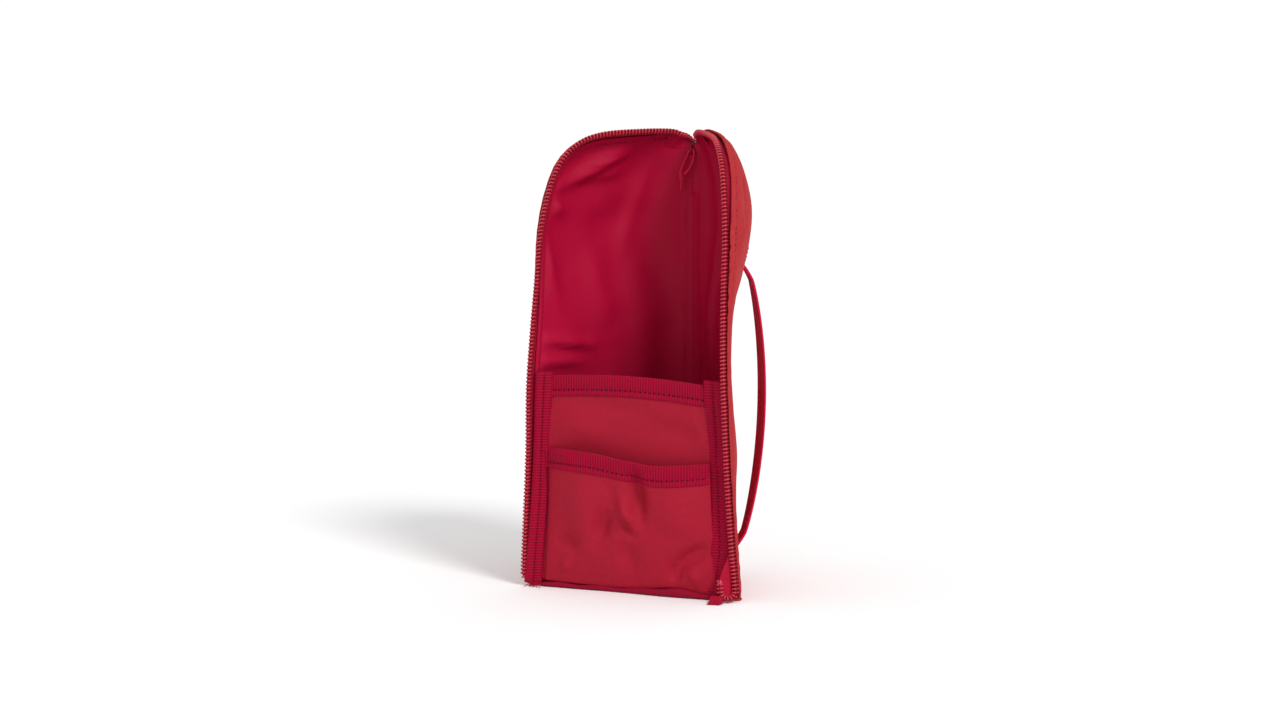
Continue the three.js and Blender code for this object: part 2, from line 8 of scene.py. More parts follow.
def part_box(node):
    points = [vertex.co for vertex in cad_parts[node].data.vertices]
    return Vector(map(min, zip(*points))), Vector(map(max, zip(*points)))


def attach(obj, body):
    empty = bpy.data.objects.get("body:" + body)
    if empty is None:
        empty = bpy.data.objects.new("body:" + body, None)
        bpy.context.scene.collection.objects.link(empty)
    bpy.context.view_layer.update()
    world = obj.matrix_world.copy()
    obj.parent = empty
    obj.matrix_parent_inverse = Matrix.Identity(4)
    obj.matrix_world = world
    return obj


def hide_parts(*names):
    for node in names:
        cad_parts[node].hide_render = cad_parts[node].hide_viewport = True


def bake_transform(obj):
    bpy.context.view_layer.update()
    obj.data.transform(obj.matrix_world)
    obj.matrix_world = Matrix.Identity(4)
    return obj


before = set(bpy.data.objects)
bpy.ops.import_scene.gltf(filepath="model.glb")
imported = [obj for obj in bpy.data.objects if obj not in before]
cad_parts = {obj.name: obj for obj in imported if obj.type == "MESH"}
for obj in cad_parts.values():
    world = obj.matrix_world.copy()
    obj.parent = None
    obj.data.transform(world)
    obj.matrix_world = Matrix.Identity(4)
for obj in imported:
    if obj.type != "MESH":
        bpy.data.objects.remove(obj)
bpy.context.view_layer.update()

# Looks of a padded pouch that stands open. Lengths are in metres, in the part's frame:
# x to the right, y to the back, z up, the origin in the middle of the underside of the base.
# Tables of folds are in millimetres. side is -1 for the left half and 1 for the right one.

# Camera and light
CAMERA_AZIMUTH = math.radians(25.0)
CAMERA_ELEVATION = math.radians(6.7)
CAMERA_TARGET = Vector((0.0041, -0.030, 0.1076))
CAMERA_DISTANCE = 1.8
CAMERA_LENS = 111.4
SENSOR_WIDTH = 36.0
FLOOR_HALF = 14.0
FLOOR_COLOUR = 1.0
AMBIENT = 0.7

SIDES = ((-1, "left"), (1, "right"))

# Form of a half, as in the solids
RIM_HEIGHT = 0.2087
RIM_DEPTH = 0.0885
HINGE_Y = 0.036
RIM_STANDOFF = 0.0014
UPPER_FULLNESS = 0.0128
REAR_FULLNESS = 0.009
RIM_ROUND = 0.050
SPINE_ROUND = 0.030
SPINE_START = 0.0016
SPINE_OFFSET = 0.0036
SPINE_EASE = 0.006
RIM_ROUND_POWER = 0.6
SPINE_ROUND_POWER = 0.5
PROBE = 0.0002
NOTCH_DROP = 0.0055
SPINE_TOP = RIM_HEIGHT - NOTCH_DROP
SPINE_TURN_HEIGHT_SHARE = 0.72
SPINE_TURN_RIM_SHARE = 0.58
SPINE_ROW_POWER = 0.9
WALL_BOTTOM = 0.0015
OPEN_ANGLE_SHARES = [
    (0, 37), (0.12, 35.4), (0.25, 34.2), (0.4, 33.2),
    (0.5, 32.8), (0.65, 33.2), (0.8, 34.2), (1, 34.8),
]
FULLNESS_SHARES = [
    (0, 0), (0.15, 0.14), (0.3, 0.24), (0.52, 0.17), (0.62, 0.3),
    (0.7, 0.6), (0.8, 0.9), (0.92, 0.94), (1, 0.82),
]
RIM_SHARES = [
    (0.995, WALL_BOTTOM / RIM_HEIGHT), (0.997, 0.12), (0.992, 0.3), (0.995, 0.45), (0.972, 0.57),
    (0.938, 0.69), (0.908, 0.79), (0.862, 0.868), (0.79, 0.935), (0.68, 0.977), (0.53, 0.996),
    (0.3, 1), (0.12, 0.998), (0.055, 0.99),
]

# Layers of a half: places outside the lining's inner face, and edges inside the zip edge
LINING_THICKNESS = 0.0005
TAPE_OFFSET = 0.00095
TAPE_THICKNESS = 0.0005
TAPE_COLS = 22
TAPE_RIB_PITCH = 0.0012
TAPE_RIB_DEPTH = 0.00005
TAPE_INSETS = (0.0028, 0.0042, 0.0056, 0.0075, 0.0105)
SHELL_OFFSET = 0.0033
SHELL_INNER = 0.0012
SLIDER_CLEARANCE = 0.0015
SHELL_EDGE_ROWS = {
    -1: [(0, 0.0022), (1, 0.0022)],
    1: [(0, 0.0004), (0.62, 0.0005), (0.7, 0.0013), (0.76, 0.0014), (0.84, 0.0008), (1, 0.0008)],
}
LINING_EDGE_ROWS = {-1: [(0, 0.0046), (0.3, 0.0042), (0.6, 0.0036), (0.92, 0.0032), (1, 0.001)],
                    1: [(0, 0.0036), (0.9, 0.0034), (1, 0.001)]}
HEM_STEPS = [0, 0.00012, 0.0004, 0.0008, 0.0013, 0.0017, 0.002, 0.0023, 0.0028, 0.0037, 0.0052, 0.0075]

# Zip
COIL_PITCH = 0.00173
COIL_REACH = 0.0014
COIL_HEIGHT = 0.00085
COIL_WIRE = 0.00042
COIL_STEPS = 12
COIL_SIDES = 6
COIL_SLANT = 0.127
COIL_INSET = 0.0003
EDGE_FLOOR = 0.0019
CORNER_RADIUS = 0.0045
CORNER_ROWS = 9
LEFT_RUN = 0.0042
HOOK_RADIUS = 0.0034
HOOK_LEG = 0.0055
HOOK_FIRST = CORNER_ROWS + 2
SPINE_COIL_X = 0.00095
SPINE_COIL_ROWS = 59
NARROW_LENGTH = 0.030
FILLER_RADIUS = 0.0006
CHAIN_RADIUS = 0.00013
CHAIN_SETBACK = 0.00055
STOP_LENGTH = 0.0030
STOP_RADIUS = 0.00136
NOTCH_ROWS = 40
NOTCH_START = 0.0095
NOTCH_HALF_THICKNESS = 0.0002
YARN_RADIUS = 0.00016
TILT_ROWS = {-1: [(0, 0), (0.3, 12), (0.6, 25), (0.8, 40), (1, 50)],
             1: [(0, 84), (0.08, 74), (0.4, 64), (0.8, 65), (1, 60)]}

# Front pocket
POCKET_SIDE_GAP = 0.001
POCKET_SETBACK = 0.0042
POCKET_BOTTOM = 0.0022
POCKET_BOTTOM_TILT = 0.0013
BOTTOM_LENS_HEIGHT = 0.0028
BOTTOM_LENS_PLACE = 0.45
BOTTOM_LENS_WIDTH = 0.26
POCKET_NOISE = (0.00035, 110.0, 21)
POCKET_HEIGHT = 0.097
POCKET_ARCH = 0.0025
FRONT_POCKET_HEIGHT = 0.065
FRONT_POCKET_SAG = 0.0045
FRONT_POCKET_BULGE = 0.009
BULGE_ACROSS_POWER = 0.6
BULGE_UP_POWER = 0.7
BULGE_SPAN = 0.88
POCKET_THICKNESS = 0.0008
BINDING_HEIGHT = 0.0092
BINDING_THICKNESS = 0.0006
SIDE_BINDING_WIDTH = 0.0086
SIDE_BINDING_THICKNESS = 0.0009
SIDE_BINDING_RISE = 0.0030
LEFT_BINDING_FORWARD = 0.003
LEFT_BINDING_SHIFT = 0.0031
RIB_PITCH = 0.0013
RIB_DEPTH = 0.00017
FRONT_EDGE_SHARES = [(-1, 0), (-0.4, 0.05), (0, 0.6), (0.3, 1), (0.6, 0.87), (1, 0.5)]

# Base, spine and strap
BASE_CORNER = 0.008
BASE_FRONT_SETBACK = 0.0026
BASE_THICKNESS = 0.0012
BASE_LINING_THICKNESS = 0.0006
FOLD_COLS = 161
FOLD_SIDES = 16
FOLD_ENDS = (-0.0445, 0.0455)
SPINE_TAPE_HALF = 0.0085
SPINE_TAPE_ROWS = 620
SPINE_TAPE_SLIT = 0.0005
SPINE_GROOVE = 0.00045
SPINE_LINING_ROWS = 200
SPINE_LINING_SLIT = 0.00003
SPINE_LINING_SETBACK = 0.0012
SPINE_LINING_REACH = 0.0036
SOFT_EDGE = 0.00018
STRAP_WIDTH = 0.011
STRAP_THICKNESS = 0.0014
STRAP_RIB_PITCH = 0.0014
STRAP_RIB_DEPTH = 0.00008
STRAP_REST = SHELL_OFFSET + 0.0003
STRAP_GAP = 0.0006
STRAP_SEWN_ROWS = 20
STRAP_FREE_ROWS = 170
STRAP_BOTTOM = 0.009
STRAP_TOP = 0.158
STRAP_DEPTH = 0.042
STRAP_TOP_DEPTH = 0.0335
ANCHOR_DENT = 0.0014
STRAP_BOW = 0.0097
STRAP_BOW_POWER = 0.65
STRAP_LIFT = 0.0017
STRAP_TWIST = math.radians(12)
ANCHOR_LENGTH = 0.009
ANCHOR_BLEND = 0.012
STRAP_STITCH_HALF = 0.4

# Cord pull
CORD_DIAMETER = 0.0012
CORD_DROP = 0.012
CORD_SPREAD = 0.0023
CORD_LEAN = 0.004
CORD_SHIFT = 0.0034
CORD_CLOSURE_SHARE = 0.9
CORD_WIDE_POWER = 0.8
CORD_TOP_POWER = 0.1
CORD_STEPS = 40
CORD_SIDES = 10
BAIL_PLAY = 0.0003
TAIL_LENGTH = 0.006
KNOT_RADIUS = 0.0014
KNOT_TURNS = 1.6
KNOT_HALF = (0.00085, 0.0008, 0.0009)
TAIL_WAY = [(0, 0, -0.0004), (0, 0, 0.0012), (0.0001, 0.0001, 0.0030), (0.0003, 0.0002, 0.0048),
            (0.0002, 0.0001, TAIL_LENGTH)]

# Thread
STITCH_PITCH = 0.0026
STITCH_LENGTH = 0.0019
STITCH_RADIUS = 0.00019
BINDING_STITCH = {"pitch": 0.0023, "length": 0.0015, "radius": 0.00028}
STRAP_STITCH = {"pitch": 0.0019, "length": 0.0015}


def read_table(rows, x):
    """Smooth curve through rows of (position, value), read at every x."""
    table = np.asarray(rows, float)
    place, value = table[:, 0], table[:, 1]
    last = len(table) - 1
    x = np.clip(np.asarray(x, float), place[0], place[-1])
    i = np.searchsorted(place[1:-1], x, side="left")
    before_from = np.maximum(i - 1, 0)
    after_to = np.minimum(i + 2, last)
    before = (value[i + 1] - value[before_from]) / (place[i + 1] - place[before_from])
    after = (value[after_to] - value[i]) / (place[after_to] - place[i])
    span = place[i + 1] - place[i]
    t = (x - place[i]) / span
    start = (2 * t - 3) * t * t + 1
    end = (3 - 2 * t) * t * t
    rise = ((t - 2) * t + 1) * t * span
    fall = (t - 1) * t * t * span
    return start * value[i] + end * value[i + 1] + rise * before + fall * after


def unit(vectors):
    length = np.linalg.norm(vectors, axis=-1, keepdims=True)
    return vectors / np.maximum(length, 1e-12)


def smooth(t):
    t = np.clip(t, 0, 1)
    return t * t * (3 - 2 * t)


def running_length(path):
    return np.concatenate([[0], np.cumsum(np.linalg.norm(np.diff(path, axis=0), axis=1))])


def along(path, arc, at):
    """Rows of a path or of what goes with it, read at running lengths."""
    return np.stack([np.interp(at, arc, path[:, k]) for k in range(path.shape[1])], -1)


def grid_of(*parts):
    """Points or texture places from their coordinates, spread over one grid."""
    return np.stack(np.broadcast_arrays(*parts), -1)


# The zip edge of a half in the meeting plane, by its length
RIM_POINTS = np.array(RIM_SHARES) * (RIM_DEPTH, RIM_HEIGHT)


def through(knots, position):
    """Smooth curve or surface through knots, read at positions counted in knots."""
    last = len(knots) - 1
    i = np.clip(np.floor(position).astype(int), 0, last)
    t = (position - i).reshape((-1,) + (1,) * (knots.ndim - 1))
    p0, p1 = knots[np.maximum(i - 1, 0)], knots[i]
    p2, p3 = knots[np.minimum(i + 1, last)], knots[np.minimum(i + 2, last)]
    v0, v1 = (p2 - p0) / 2, (p3 - p1) / 2
    return ((2 * p1 - 2 * p2 + v0 + v1) * t + (-3 * p1 + 3 * p2 - 2 * v0 - v1)) * t * t + v0 * t + p1


RIM_DENSE = through(RIM_POINTS, np.linspace(0, len(RIM_POINTS) - 1, 3001))
RIM_ARC = running_length(RIM_DENSE)
RIM_LENGTH = RIM_ARC[-1]
RIM_PROBES = RIM_DENSE[::15]


def rim_at(share):
    return along(RIM_DENSE, RIM_ARC, np.asarray(share, float) * RIM_LENGTH)


def rim_outward(share):
    step = 0.002
    ahead = unit(rim_at(np.minimum(share + step, 1)) - rim_at(np.maximum(share - step, 0)))
    return np.stack([ahead[:, 1], -ahead[:, 0]], -1)


def rim_distance(s, z):
    flat = np.stack([np.ravel(s), np.ravel(z)], -1)
    gaps = np.linalg.norm(flat[:, None, :] - RIM_PROBES[None], axis=2).min(1)
    return gaps.reshape(np.shape(s))


def rounded_rise(share, power):
    rest = 1 - np.clip(share, 0, 1)
    return (1 - rest * rest) ** power


def swell(s, z):
    """How far the lining stands out of the meeting plane."""
    fullness = UPPER_FULLNESS * read_table(FULLNESS_SHARES, z / RIM_HEIGHT)
    fullness = fullness + REAR_FULLNESS * (1 - s / RIM_DEPTH)

    def body(depth):
        near_rim = rounded_rise(rim_distance(depth, z) / RIM_ROUND, RIM_ROUND_POWER)
        return RIM_STANDOFF + fullness * near_rim * rounded_rise(depth / SPINE_ROUND, SPINE_ROUND_POWER)

    correction = SPINE_OFFSET - body(np.full_like(s, SPINE_START))
    return body(s) + correction * np.exp((SPINE_START - s) / SPINE_EASE)


def open_angle(z):
    return np.radians(read_table(OPEN_ANGLE_SHARES, np.asarray(z) / RIM_HEIGHT))


def half_point(side, s, z, out):
    angle = open_angle(z)
    return grid_of(side * (s * np.sin(angle) + out * np.cos(angle)),
                   HINGE_Y - s * np.cos(angle) + out * np.sin(angle), z)


def lining_point(side, s, z):
    s, z = np.broadcast_arrays(np.asarray(s, float), np.asarray(z, float))
    return half_point(side, s, z, swell(s, z))


def skin_normal(side, s, z):
    """Direction out of the pouch at a point of the lining."""
    ahead = np.maximum(s - PROBE, SPINE_START)
    onward = lining_point(side, ahead + PROBE, z) - lining_point(side, ahead, z)
    up = lining_point(side, s, z + PROBE) - lining_point(side, s, z - PROBE)
    return unit(np.cross(up, onward) * side)


def skin_point(side, s, z, offset):
    return lining_point(side, s, z) + skin_normal(side, s, z) * np.asarray(offset)[..., None]


def spine_height(share):
    turn = SPINE_TOP * SPINE_TURN_HEIGHT_SHARE
    start = min(float(rim_at(np.array([SPINE_TURN_RIM_SHARE]))[0, 1]), turn)
    above = np.clip((share - SPINE_TURN_RIM_SHARE) / (1 - SPINE_TURN_RIM_SHARE), 0, 1)
    return np.where(share <= SPINE_TURN_RIM_SHARE, np.minimum(rim_at(share)[..., 1], turn),
                    start + (SPINE_TOP - start) * above ** SPINE_ROW_POWER)


class Edge:
    """The zip edge with its bottom corner rounded: rows from the corner up to the notch."""

    def __init__(self, count):
        corner_z = EDGE_FLOOR + CORNER_RADIUS
        share_from = float(np.interp(corner_z, RIM_DENSE[:300, 1], RIM_ARC[:300])) / RIM_LENGTH
        upwards = np.linspace(share_from, 1, count + 1)[1:]
        self.share = np.concatenate([np.full(CORNER_ROWS, share_from), upwards])
        turn = np.radians(np.linspace(-90, 0, CORNER_ROWS))
        self.centre = rim_at(np.array([share_from]))[0] - (CORNER_RADIUS, 0)
        normal = np.stack([np.cos(turn), np.sin(turn)], -1)
        self.normal = np.concatenate([normal, rim_outward(self.share[CORNER_ROWS:])])
        self.place = np.concatenate([self.centre + CORNER_RADIUS * normal, rim_at(self.share[CORNER_ROWS:])])
        self.corner = np.zeros(len(self.share))
        self.corner[:CORNER_ROWS] = 1
        self.level = self.place[:, 1].copy()
        self.level[:CORNER_ROWS] = np.linspace(WALL_BOTTOM + 0.0001, corner_z, CORNER_ROWS)
        self.count = len(self.share)

    def inset(self, amount):
        """Depths and heights of the rows moved in from the edge, by one length or one for each row."""
        amount = np.broadcast_to(amount, (self.count,))
        round_place = self.place - self.normal * amount[:, None]
        square = np.stack([self.centre[0] + CORNER_RADIUS - amount, self.level], -1)
        share = (self.corner * smooth(amount / (CORNER_RADIUS + 0.0015)))[:, None]
        return round_place * (1 - share) + square * share

    def start(self):
        height = spine_height(self.share)
        height[:CORNER_ROWS] = self.level[:CORNER_ROWS]
        return np.stack([np.full(self.count, SPINE_START), height], -1)


def wall_grid(hem):
    """Depths and heights over a half: rows along the zip edge, columns from the spine to the hem.
    hem is how far the sheet's edge lies inside the zip edge."""
    shrink = 1 - 0.8 * smooth((EDGE.share - 0.9) / 0.1)
    rim = [EDGE.inset(hem + step * shrink) for step in reversed(HEM_STEPS)]
    start = EDGE.start()
    u = 1 - (1 - np.linspace(0, 1, WALL_COLS + 1)[:-1]) ** 1.15
    wall = [start + (rim[0] - start) * t for t in u]
    grid = np.stack(wall + rim, 1)
    return grid[..., 0], np.maximum(grid[..., 1], WALL_BOTTOM)


def by_hem(values):
    """One value for each column of a wall grid: values by distance from the hem, flat beyond."""
    at = np.concatenate([np.full(WALL_COLS, HEM_STEPS[-1]), np.array(HEM_STEPS)[::-1]])
    return np.interp(at, *np.array(values).T)[None, :]


def fine_noise(points, scale, seed):
    """Smooth noise from -1 to 1 at each point."""
    shift = Vector((seed * 7.3, seed * 3.1, seed * 5.7))
    values = [noise.noise(Vector(p) * scale + shift) for p in points.reshape(-1, 3)]
    return np.array(values).reshape(points.shape[:-1])


def ridges(a, b, rows):
    """Soft folds in a plane: each row is (a0, b0, a1, b1, width, height) in millimetres."""
    total = np.zeros(np.broadcast(a, b).shape)
    for a0, b0, a1, b1, width, height in np.array(rows) / 1000:
        length = (a1 - a0) ** 2 + (b1 - b0) ** 2
        t = np.clip(((a - a0) * (a1 - a0) + (b - b0) * (b1 - b0)) / length, 0, 1)
        gap = np.hypot(a - a0 - t * (a1 - a0), b - b0 - t * (b1 - b0))
        total += height * np.exp(-(gap / width) ** 2) * (0.3 + 0.7 * np.sin(np.pi * t))
    return total


def surface_lengths(points):
    """Running lengths along the columns and rows of a grid, as texture places in metres."""
    across = np.linalg.norm(np.diff(points, axis=1), axis=2)
    up = np.linalg.norm(np.diff(points, axis=0), axis=2)
    u = np.concatenate([np.zeros((len(points), 1)), np.cumsum(across, 1)], 1)
    v = np.concatenate([np.zeros((1, points.shape[1])), np.cumsum(up, 0)], 0)
    return grid_of(u, v.mean(1, keepdims=True))


def grid_normals(points):
    return unit(np.cross(np.gradient(points, axis=1), np.gradient(points, axis=0)))


# Making meshes
def quads_of(rows, cols, start=0, closed=False):
    """Four-sided faces of a grid whose points follow each other row by row."""
    r, c = np.meshgrid(np.arange(rows - 1), np.arange(cols if closed else cols - 1), indexing="ij")
    ahead = (c + 1) % cols
    return start + np.stack([r * cols + c, r * cols + ahead, (r + 1) * cols + ahead, (r + 1) * cols + c],
                            -1).reshape(-1, 4)


def end_caps(rings, sides):
    """Faces that close the first and the last ring of a tube."""
    return [list(reversed(range(sides))), list(range((rings - 1) * sides, rings * sides))]


def make_mesh(name, points, quads, places, material, caps=()):
    """A smooth mesh object whose faces point out."""
    a, b, c, d = (points[quads[:, k]] for k in range(4))
    volume = (np.cross(b, c) * a).sum() + (np.cross(c, d) * a).sum()
    faces = quads.tolist() + [list(cap) for cap in caps]
    if volume < 0:
        faces = [face[::-1] for face in faces]
    mesh = bpy.data.meshes.new(name)
    mesh.from_pydata(points.tolist(), [], faces)
    layer = mesh.uv_layers.new(name="UVMap")
    corner = np.zeros(len(mesh.loops), np.int32)
    mesh.loops.foreach_get("vertex_index", corner)
    layer.data.foreach_set("uv", np.asarray(places, np.float32)[corner].ravel())
    mesh.polygons.foreach_set("use_smooth", np.ones(len(mesh.polygons), bool))
    mesh.update()
    mesh.materials.append(material)
    made = bpy.data.objects.new(name, mesh)
    bpy.context.scene.collection.objects.link(made)
    return made


def border_of(rows, cols):
    """Rows and columns of a grid's border, in order round it."""
    c, r = np.arange(cols), np.arange(rows)
    return (np.concatenate([np.zeros(cols, int), r[1:], np.full(cols - 1, rows - 1), r[1:-1][::-1]]),
            np.concatenate([c, np.full(rows - 1, cols - 1), c[:-1][::-1], np.zeros(rows - 2, int)]))


def sheet(name, front, back, material, places=None, cut=None, cut_normals=None):
    """A closed sheet between two grids, with rounded edges. cut names a side that stays square, where
    the other half of the piece meets it, and cut_normals are the front's normals there."""
    rows, cols = front.shape[:2]
    if places is None:
        places = surface_lengths(front)
    count = rows * cols
    points = [front.reshape(-1, 3), back.reshape(-1, 3)]
    uvs = [places.reshape(-1, 2), places.reshape(-1, 2)]
    quads = [quads_of(rows, cols), quads_of(rows, cols, count)[:, ::-1]]
    r_of, c_of = border_of(rows, cols)
    middle = (front + back) / 2
    inner = middle[np.clip(r_of, 1, rows - 2), np.clip(c_of, 1, cols - 2)]
    outward = unit(middle[r_of, c_of] - inner)
    thick = np.linalg.norm(front[r_of, c_of] - back[r_of, c_of], axis=1)
    cut_column = {"start": 0, "end": cols - 1}.get(cut)
    square = np.zeros(len(r_of), bool) if cut_column is None else c_of == cut_column
    bulge = outward * (thick / 2 * ~square)[:, None]
    rings = [r_of * cols + c_of]
    total = 2 * count
    for share in (0.25, 0.5, 0.75):
        ring = front[r_of, c_of] * (1 - share) + back[r_of, c_of] * share
        points.append(ring + bulge * math.sin(math.pi * share))
        uvs.append(places[r_of, c_of])
        rings.append(np.arange(total, total + len(r_of)))
        total += len(r_of)
    rings.append(count + r_of * cols + c_of)
    for one, two in zip(rings, rings[1:]):
        quads.append(np.stack([np.roll(one, -1), one, two, np.roll(two, -1)], -1))
    made = make_mesh(name, np.concatenate(points), np.concatenate(quads), np.concatenate(uvs), material)
    if cut_normals is not None:
        at = np.arange(rows) * cols + cut_column
        every = np.zeros((len(made.data.vertices), 3))
        grown = np.zeros(len(made.data.vertices) * 3)
        made.data.vertices.foreach_get("normal", grown)
        facing = np.sign((grown.reshape(-1, 3)[at] * cut_normals).sum(1, keepdims=True))
        every[at] = cut_normals * facing
        every[count + at] = -cut_normals * facing
        made.data.normals_split_custom_set_from_vertices(every.tolist())
    return made


def tube(name, path, radius, sides, material):
    """A round tube along a path. radius may vary along it."""
    path = np.asarray(path, float)
    n = len(path)
    ahead = unit(np.gradient(path, axis=0))
    normal = np.zeros_like(path)
    first = np.cross(ahead[0], (0.0, 0.0, 1.0))
    normal[0] = unit(first if np.linalg.norm(first) > 0.1 else np.cross(ahead[0], (1.0, 0.0, 0.0)))
    for i in range(1, n):
        normal[i] = unit(normal[i - 1] - np.dot(normal[i - 1], ahead[i]) * ahead[i])
    other = np.cross(ahead, normal)
    angle = 2 * np.pi * np.arange(sides) / sides
    size = np.broadcast_to(np.asarray(radius, float), (n,))
    ring = normal[:, None] * np.cos(angle)[:, None] + other[:, None] * np.sin(angle)[:, None]
    points = (path[:, None] + ring * size[:, None, None]).reshape(-1, 3)
    places = grid_of(np.arange(sides) / sides * 0.004, running_length(path)[:, None]).reshape(-1, 2)
    quads = quads_of(n, sides, closed=True)
    return make_mesh(name, points, quads, places, material, end_caps(n, sides))


def joined(name, parts):
    """One object from several."""
    bpy.ops.object.select_all(action="DESELECT")
    for part in parts:
        part.select_set(True)
    bpy.context.view_layer.objects.active = parts[0]
    bpy.ops.object.join()
    parts[0].name = name
    parts[0].data.name = name
    return parts[0]


def stitches(name, path, normals, material, slot, pitch=STITCH_PITCH, length=STITCH_LENGTH,
             radius=STITCH_RADIUS):
    """A row of sewn stitches along a path: each is a short rounded thread that dips at its ends."""
    path = np.asarray(path, float)
    normals = np.broadcast_to(normals, path.shape)
    arc = running_length(path)
    count = max(int(arc[-1] / pitch), 1)
    rings, sides = 6, 6
    angle = 2 * np.pi * np.arange(sides) / sides
    share = np.linspace(0, 1, rings)
    bow = np.sin(np.pi * share)
    centre = (np.arange(count) + 0.5) * arc[-1] / count
    at = np.clip(centre[:, None] + (share - 0.5)[None] * length, 0, arc[-1])
    line = along(path, arc, at.ravel()).reshape(count, rings, 3)
    normal = unit(along(normals, arc, at.ravel())).reshape(count, rings, 3)
    line = line + normal * (radius * (1.1 * bow - 0.6))[None, :, None]
    ahead = unit(np.gradient(line, axis=1))
    aside = np.cross(ahead, normal)
    size = (radius * (0.35 + 0.65 * bow ** 0.5))[None, :, None, None]
    ring = normal[:, :, None] * np.cos(angle)[:, None] + aside[:, :, None] * np.sin(angle)[:, None]
    points = (line[:, :, None] + ring * size).reshape(-1, 3)
    places = grid_of(angle * radius, at.ravel()[:, None]).reshape(-1, 2)
    one = quads_of(rings, sides, closed=True)
    step = rings * sides
    quads = (one[None] + (np.arange(count) * step)[:, None, None]).reshape(-1, 4)
    caps = []
    for k in range(count):
        caps.append([k * step + j for j in reversed(range(sides))])
        caps.append([k * step + (rings - 1) * sides + j for j in range(sides)])
    return make_mesh(name, points, quads, places, material, caps)


# Materials
RIBBED_ROUGHNESS = 0.78
RIBBED_SHEEN = 0.3
SPECULAR_LEVEL = 0.13
SHEEN_ROUGHNESS = 0.45
SHEEN_TINT = 1.7


def linear(red, green, blue):
    """Linear colour from sRGB values out of 255."""
    def one(value):
        share = value / 255
        return share / 12.92 if share <= 0.04045 else ((share + 0.055) / 1.055) ** 2.4
    return (one(red), one(green), one(blue), 1.0)


def shaded(colour, share):
    return tuple(min(c * share, 1.0) for c in colour[:3]) + (1.0,)


class Nodes:
    """Short ways to add and link shader nodes."""

    def __init__(self, name):
        self.material = bpy.data.materials.new(name)
        self.material.use_nodes = True
        self.tree = self.material.node_tree
        self.shader = self.tree.nodes["Principled BSDF"]
        places = self.add("ShaderNodeTexCoord")
        split = self.add("ShaderNodeSeparateXYZ")
        self.link(places.outputs["UV"], split.inputs[0])
        self.u, self.v = split.outputs["X"], split.outputs["Y"]
        self.solid = places.outputs["Object"]

    def add(self, kind, **values):
        node = self.tree.nodes.new(kind)
        for key, value in values.items():
            setattr(node, key, value)
        return node

    def link(self, source, target):
        self.tree.links.new(source, target)

    def value(self, operation, *sources):
        node = self.add("ShaderNodeMath", operation=operation)
        for socket, source in zip(node.inputs, sources):
            if isinstance(source, (int, float)):
                socket.default_value = source
            else:
                self.link(source, socket)
        return node.outputs[0]

    def noise(self, scale, detail=3.0, roughness=0.5):
        node = self.add("ShaderNodeTexNoise")
        node.inputs["Scale"].default_value = scale
        node.inputs["Detail"].default_value = detail
        node.inputs["Roughness"].default_value = roughness
        self.link(self.solid, node.inputs["Vector"])
        return node.outputs["Fac"]

    def spread(self, source, low, high, to_low=0.0, to_high=1.0):
        node = self.add("ShaderNodeMapRange")
        self.link(source, node.inputs["Value"])
        for key, value in (("From Min", low), ("From Max", high), ("To Min", to_low), ("To Max", to_high)):
            node.inputs[key].default_value = value
        return node.outputs["Result"]

    def mix(self, share, one, two, low, high):
        """Colour from one to two as share goes from low to high."""
        node = self.add("ShaderNodeMix", data_type="RGBA")
        self.link(self.spread(share, low, high), node.inputs["Factor"])
        for socket, source in ((node.inputs["A"], one), (node.inputs["B"], two)):
            if isinstance(source, tuple):
                socket.default_value = source
            else:
                self.link(source, socket)
        return node.outputs["Result"]

    def wave(self, source, period):
        """Wave from 0 to 1 along a length."""
        turn = self.value("SINE", self.value("MULTIPLY", source, 2 * math.pi / period))
        return self.value("MULTIPLY_ADD", turn, 0.5, 0.5)

    def bump(self, height, strength, distance):
        node = self.add("ShaderNodeBump")
        node.inputs["Strength"].default_value = strength
        node.inputs["Distance"].default_value = distance
        self.link(height, node.inputs["Height"])
        self.link(node.outputs["Normal"], self.shader.inputs["Normal"])

    def cloth_finish(self, colour, rough, sheen, uneven):
        shader = self.shader.inputs
        self.link(self.spread(uneven, 0.25, 0.75, rough - 0.05, min(rough + 0.05, 1.0)), shader["Roughness"])
        shader["Sheen Weight"].default_value = sheen
        shader["Sheen Roughness"].default_value = SHEEN_ROUGHNESS
        shader["Sheen Tint"].default_value = shaded(colour, SHEEN_TINT)
        shader["Specular IOR Level"].default_value = SPECULAR_LEVEL


def fabric(name, colour, warp, weave, rough, sheen, shade, weft=None, blotch=0.06, relief=0.3):
    """Plain woven cloth: threads over and under by the texture places, with soft unevenness."""
    n = Nodes(name)
    warp_wave = n.wave(n.u, warp)
    weft_wave = n.wave(n.v, weft or warp)
    over = n.value("ABSOLUTE", n.value("SUBTRACT", warp_wave, weft_wave))
    uneven = n.noise(32.0, 4.0, 0.55)
    slub = n.noise(420.0, 3.0, 0.65)
    fuzz = n.noise(2600.0, 2.0, 0.6)
    base = n.mix(uneven, shaded(colour, 1 - blotch), shaded(colour, 1 + blotch), 0.3, 0.7)
    woven = n.mix(over, shaded(colour, 1 - shade * 2), base, 0.0, 0.8)
    tinted = n.mix(slub, woven, shaded(colour, 1 + shade), 0.45, 0.9)
    n.link(tinted, n.shader.inputs["Base Color"])
    n.cloth_finish(colour, rough, sheen, uneven)
    height = n.value("ADD", n.value("MULTIPLY", over, weave),
                     n.value("ADD", n.value("MULTIPLY", slub, 0.5), n.value("MULTIPLY", fuzz, 0.25)))
    n.bump(height, relief, 0.00014)
    return n.material


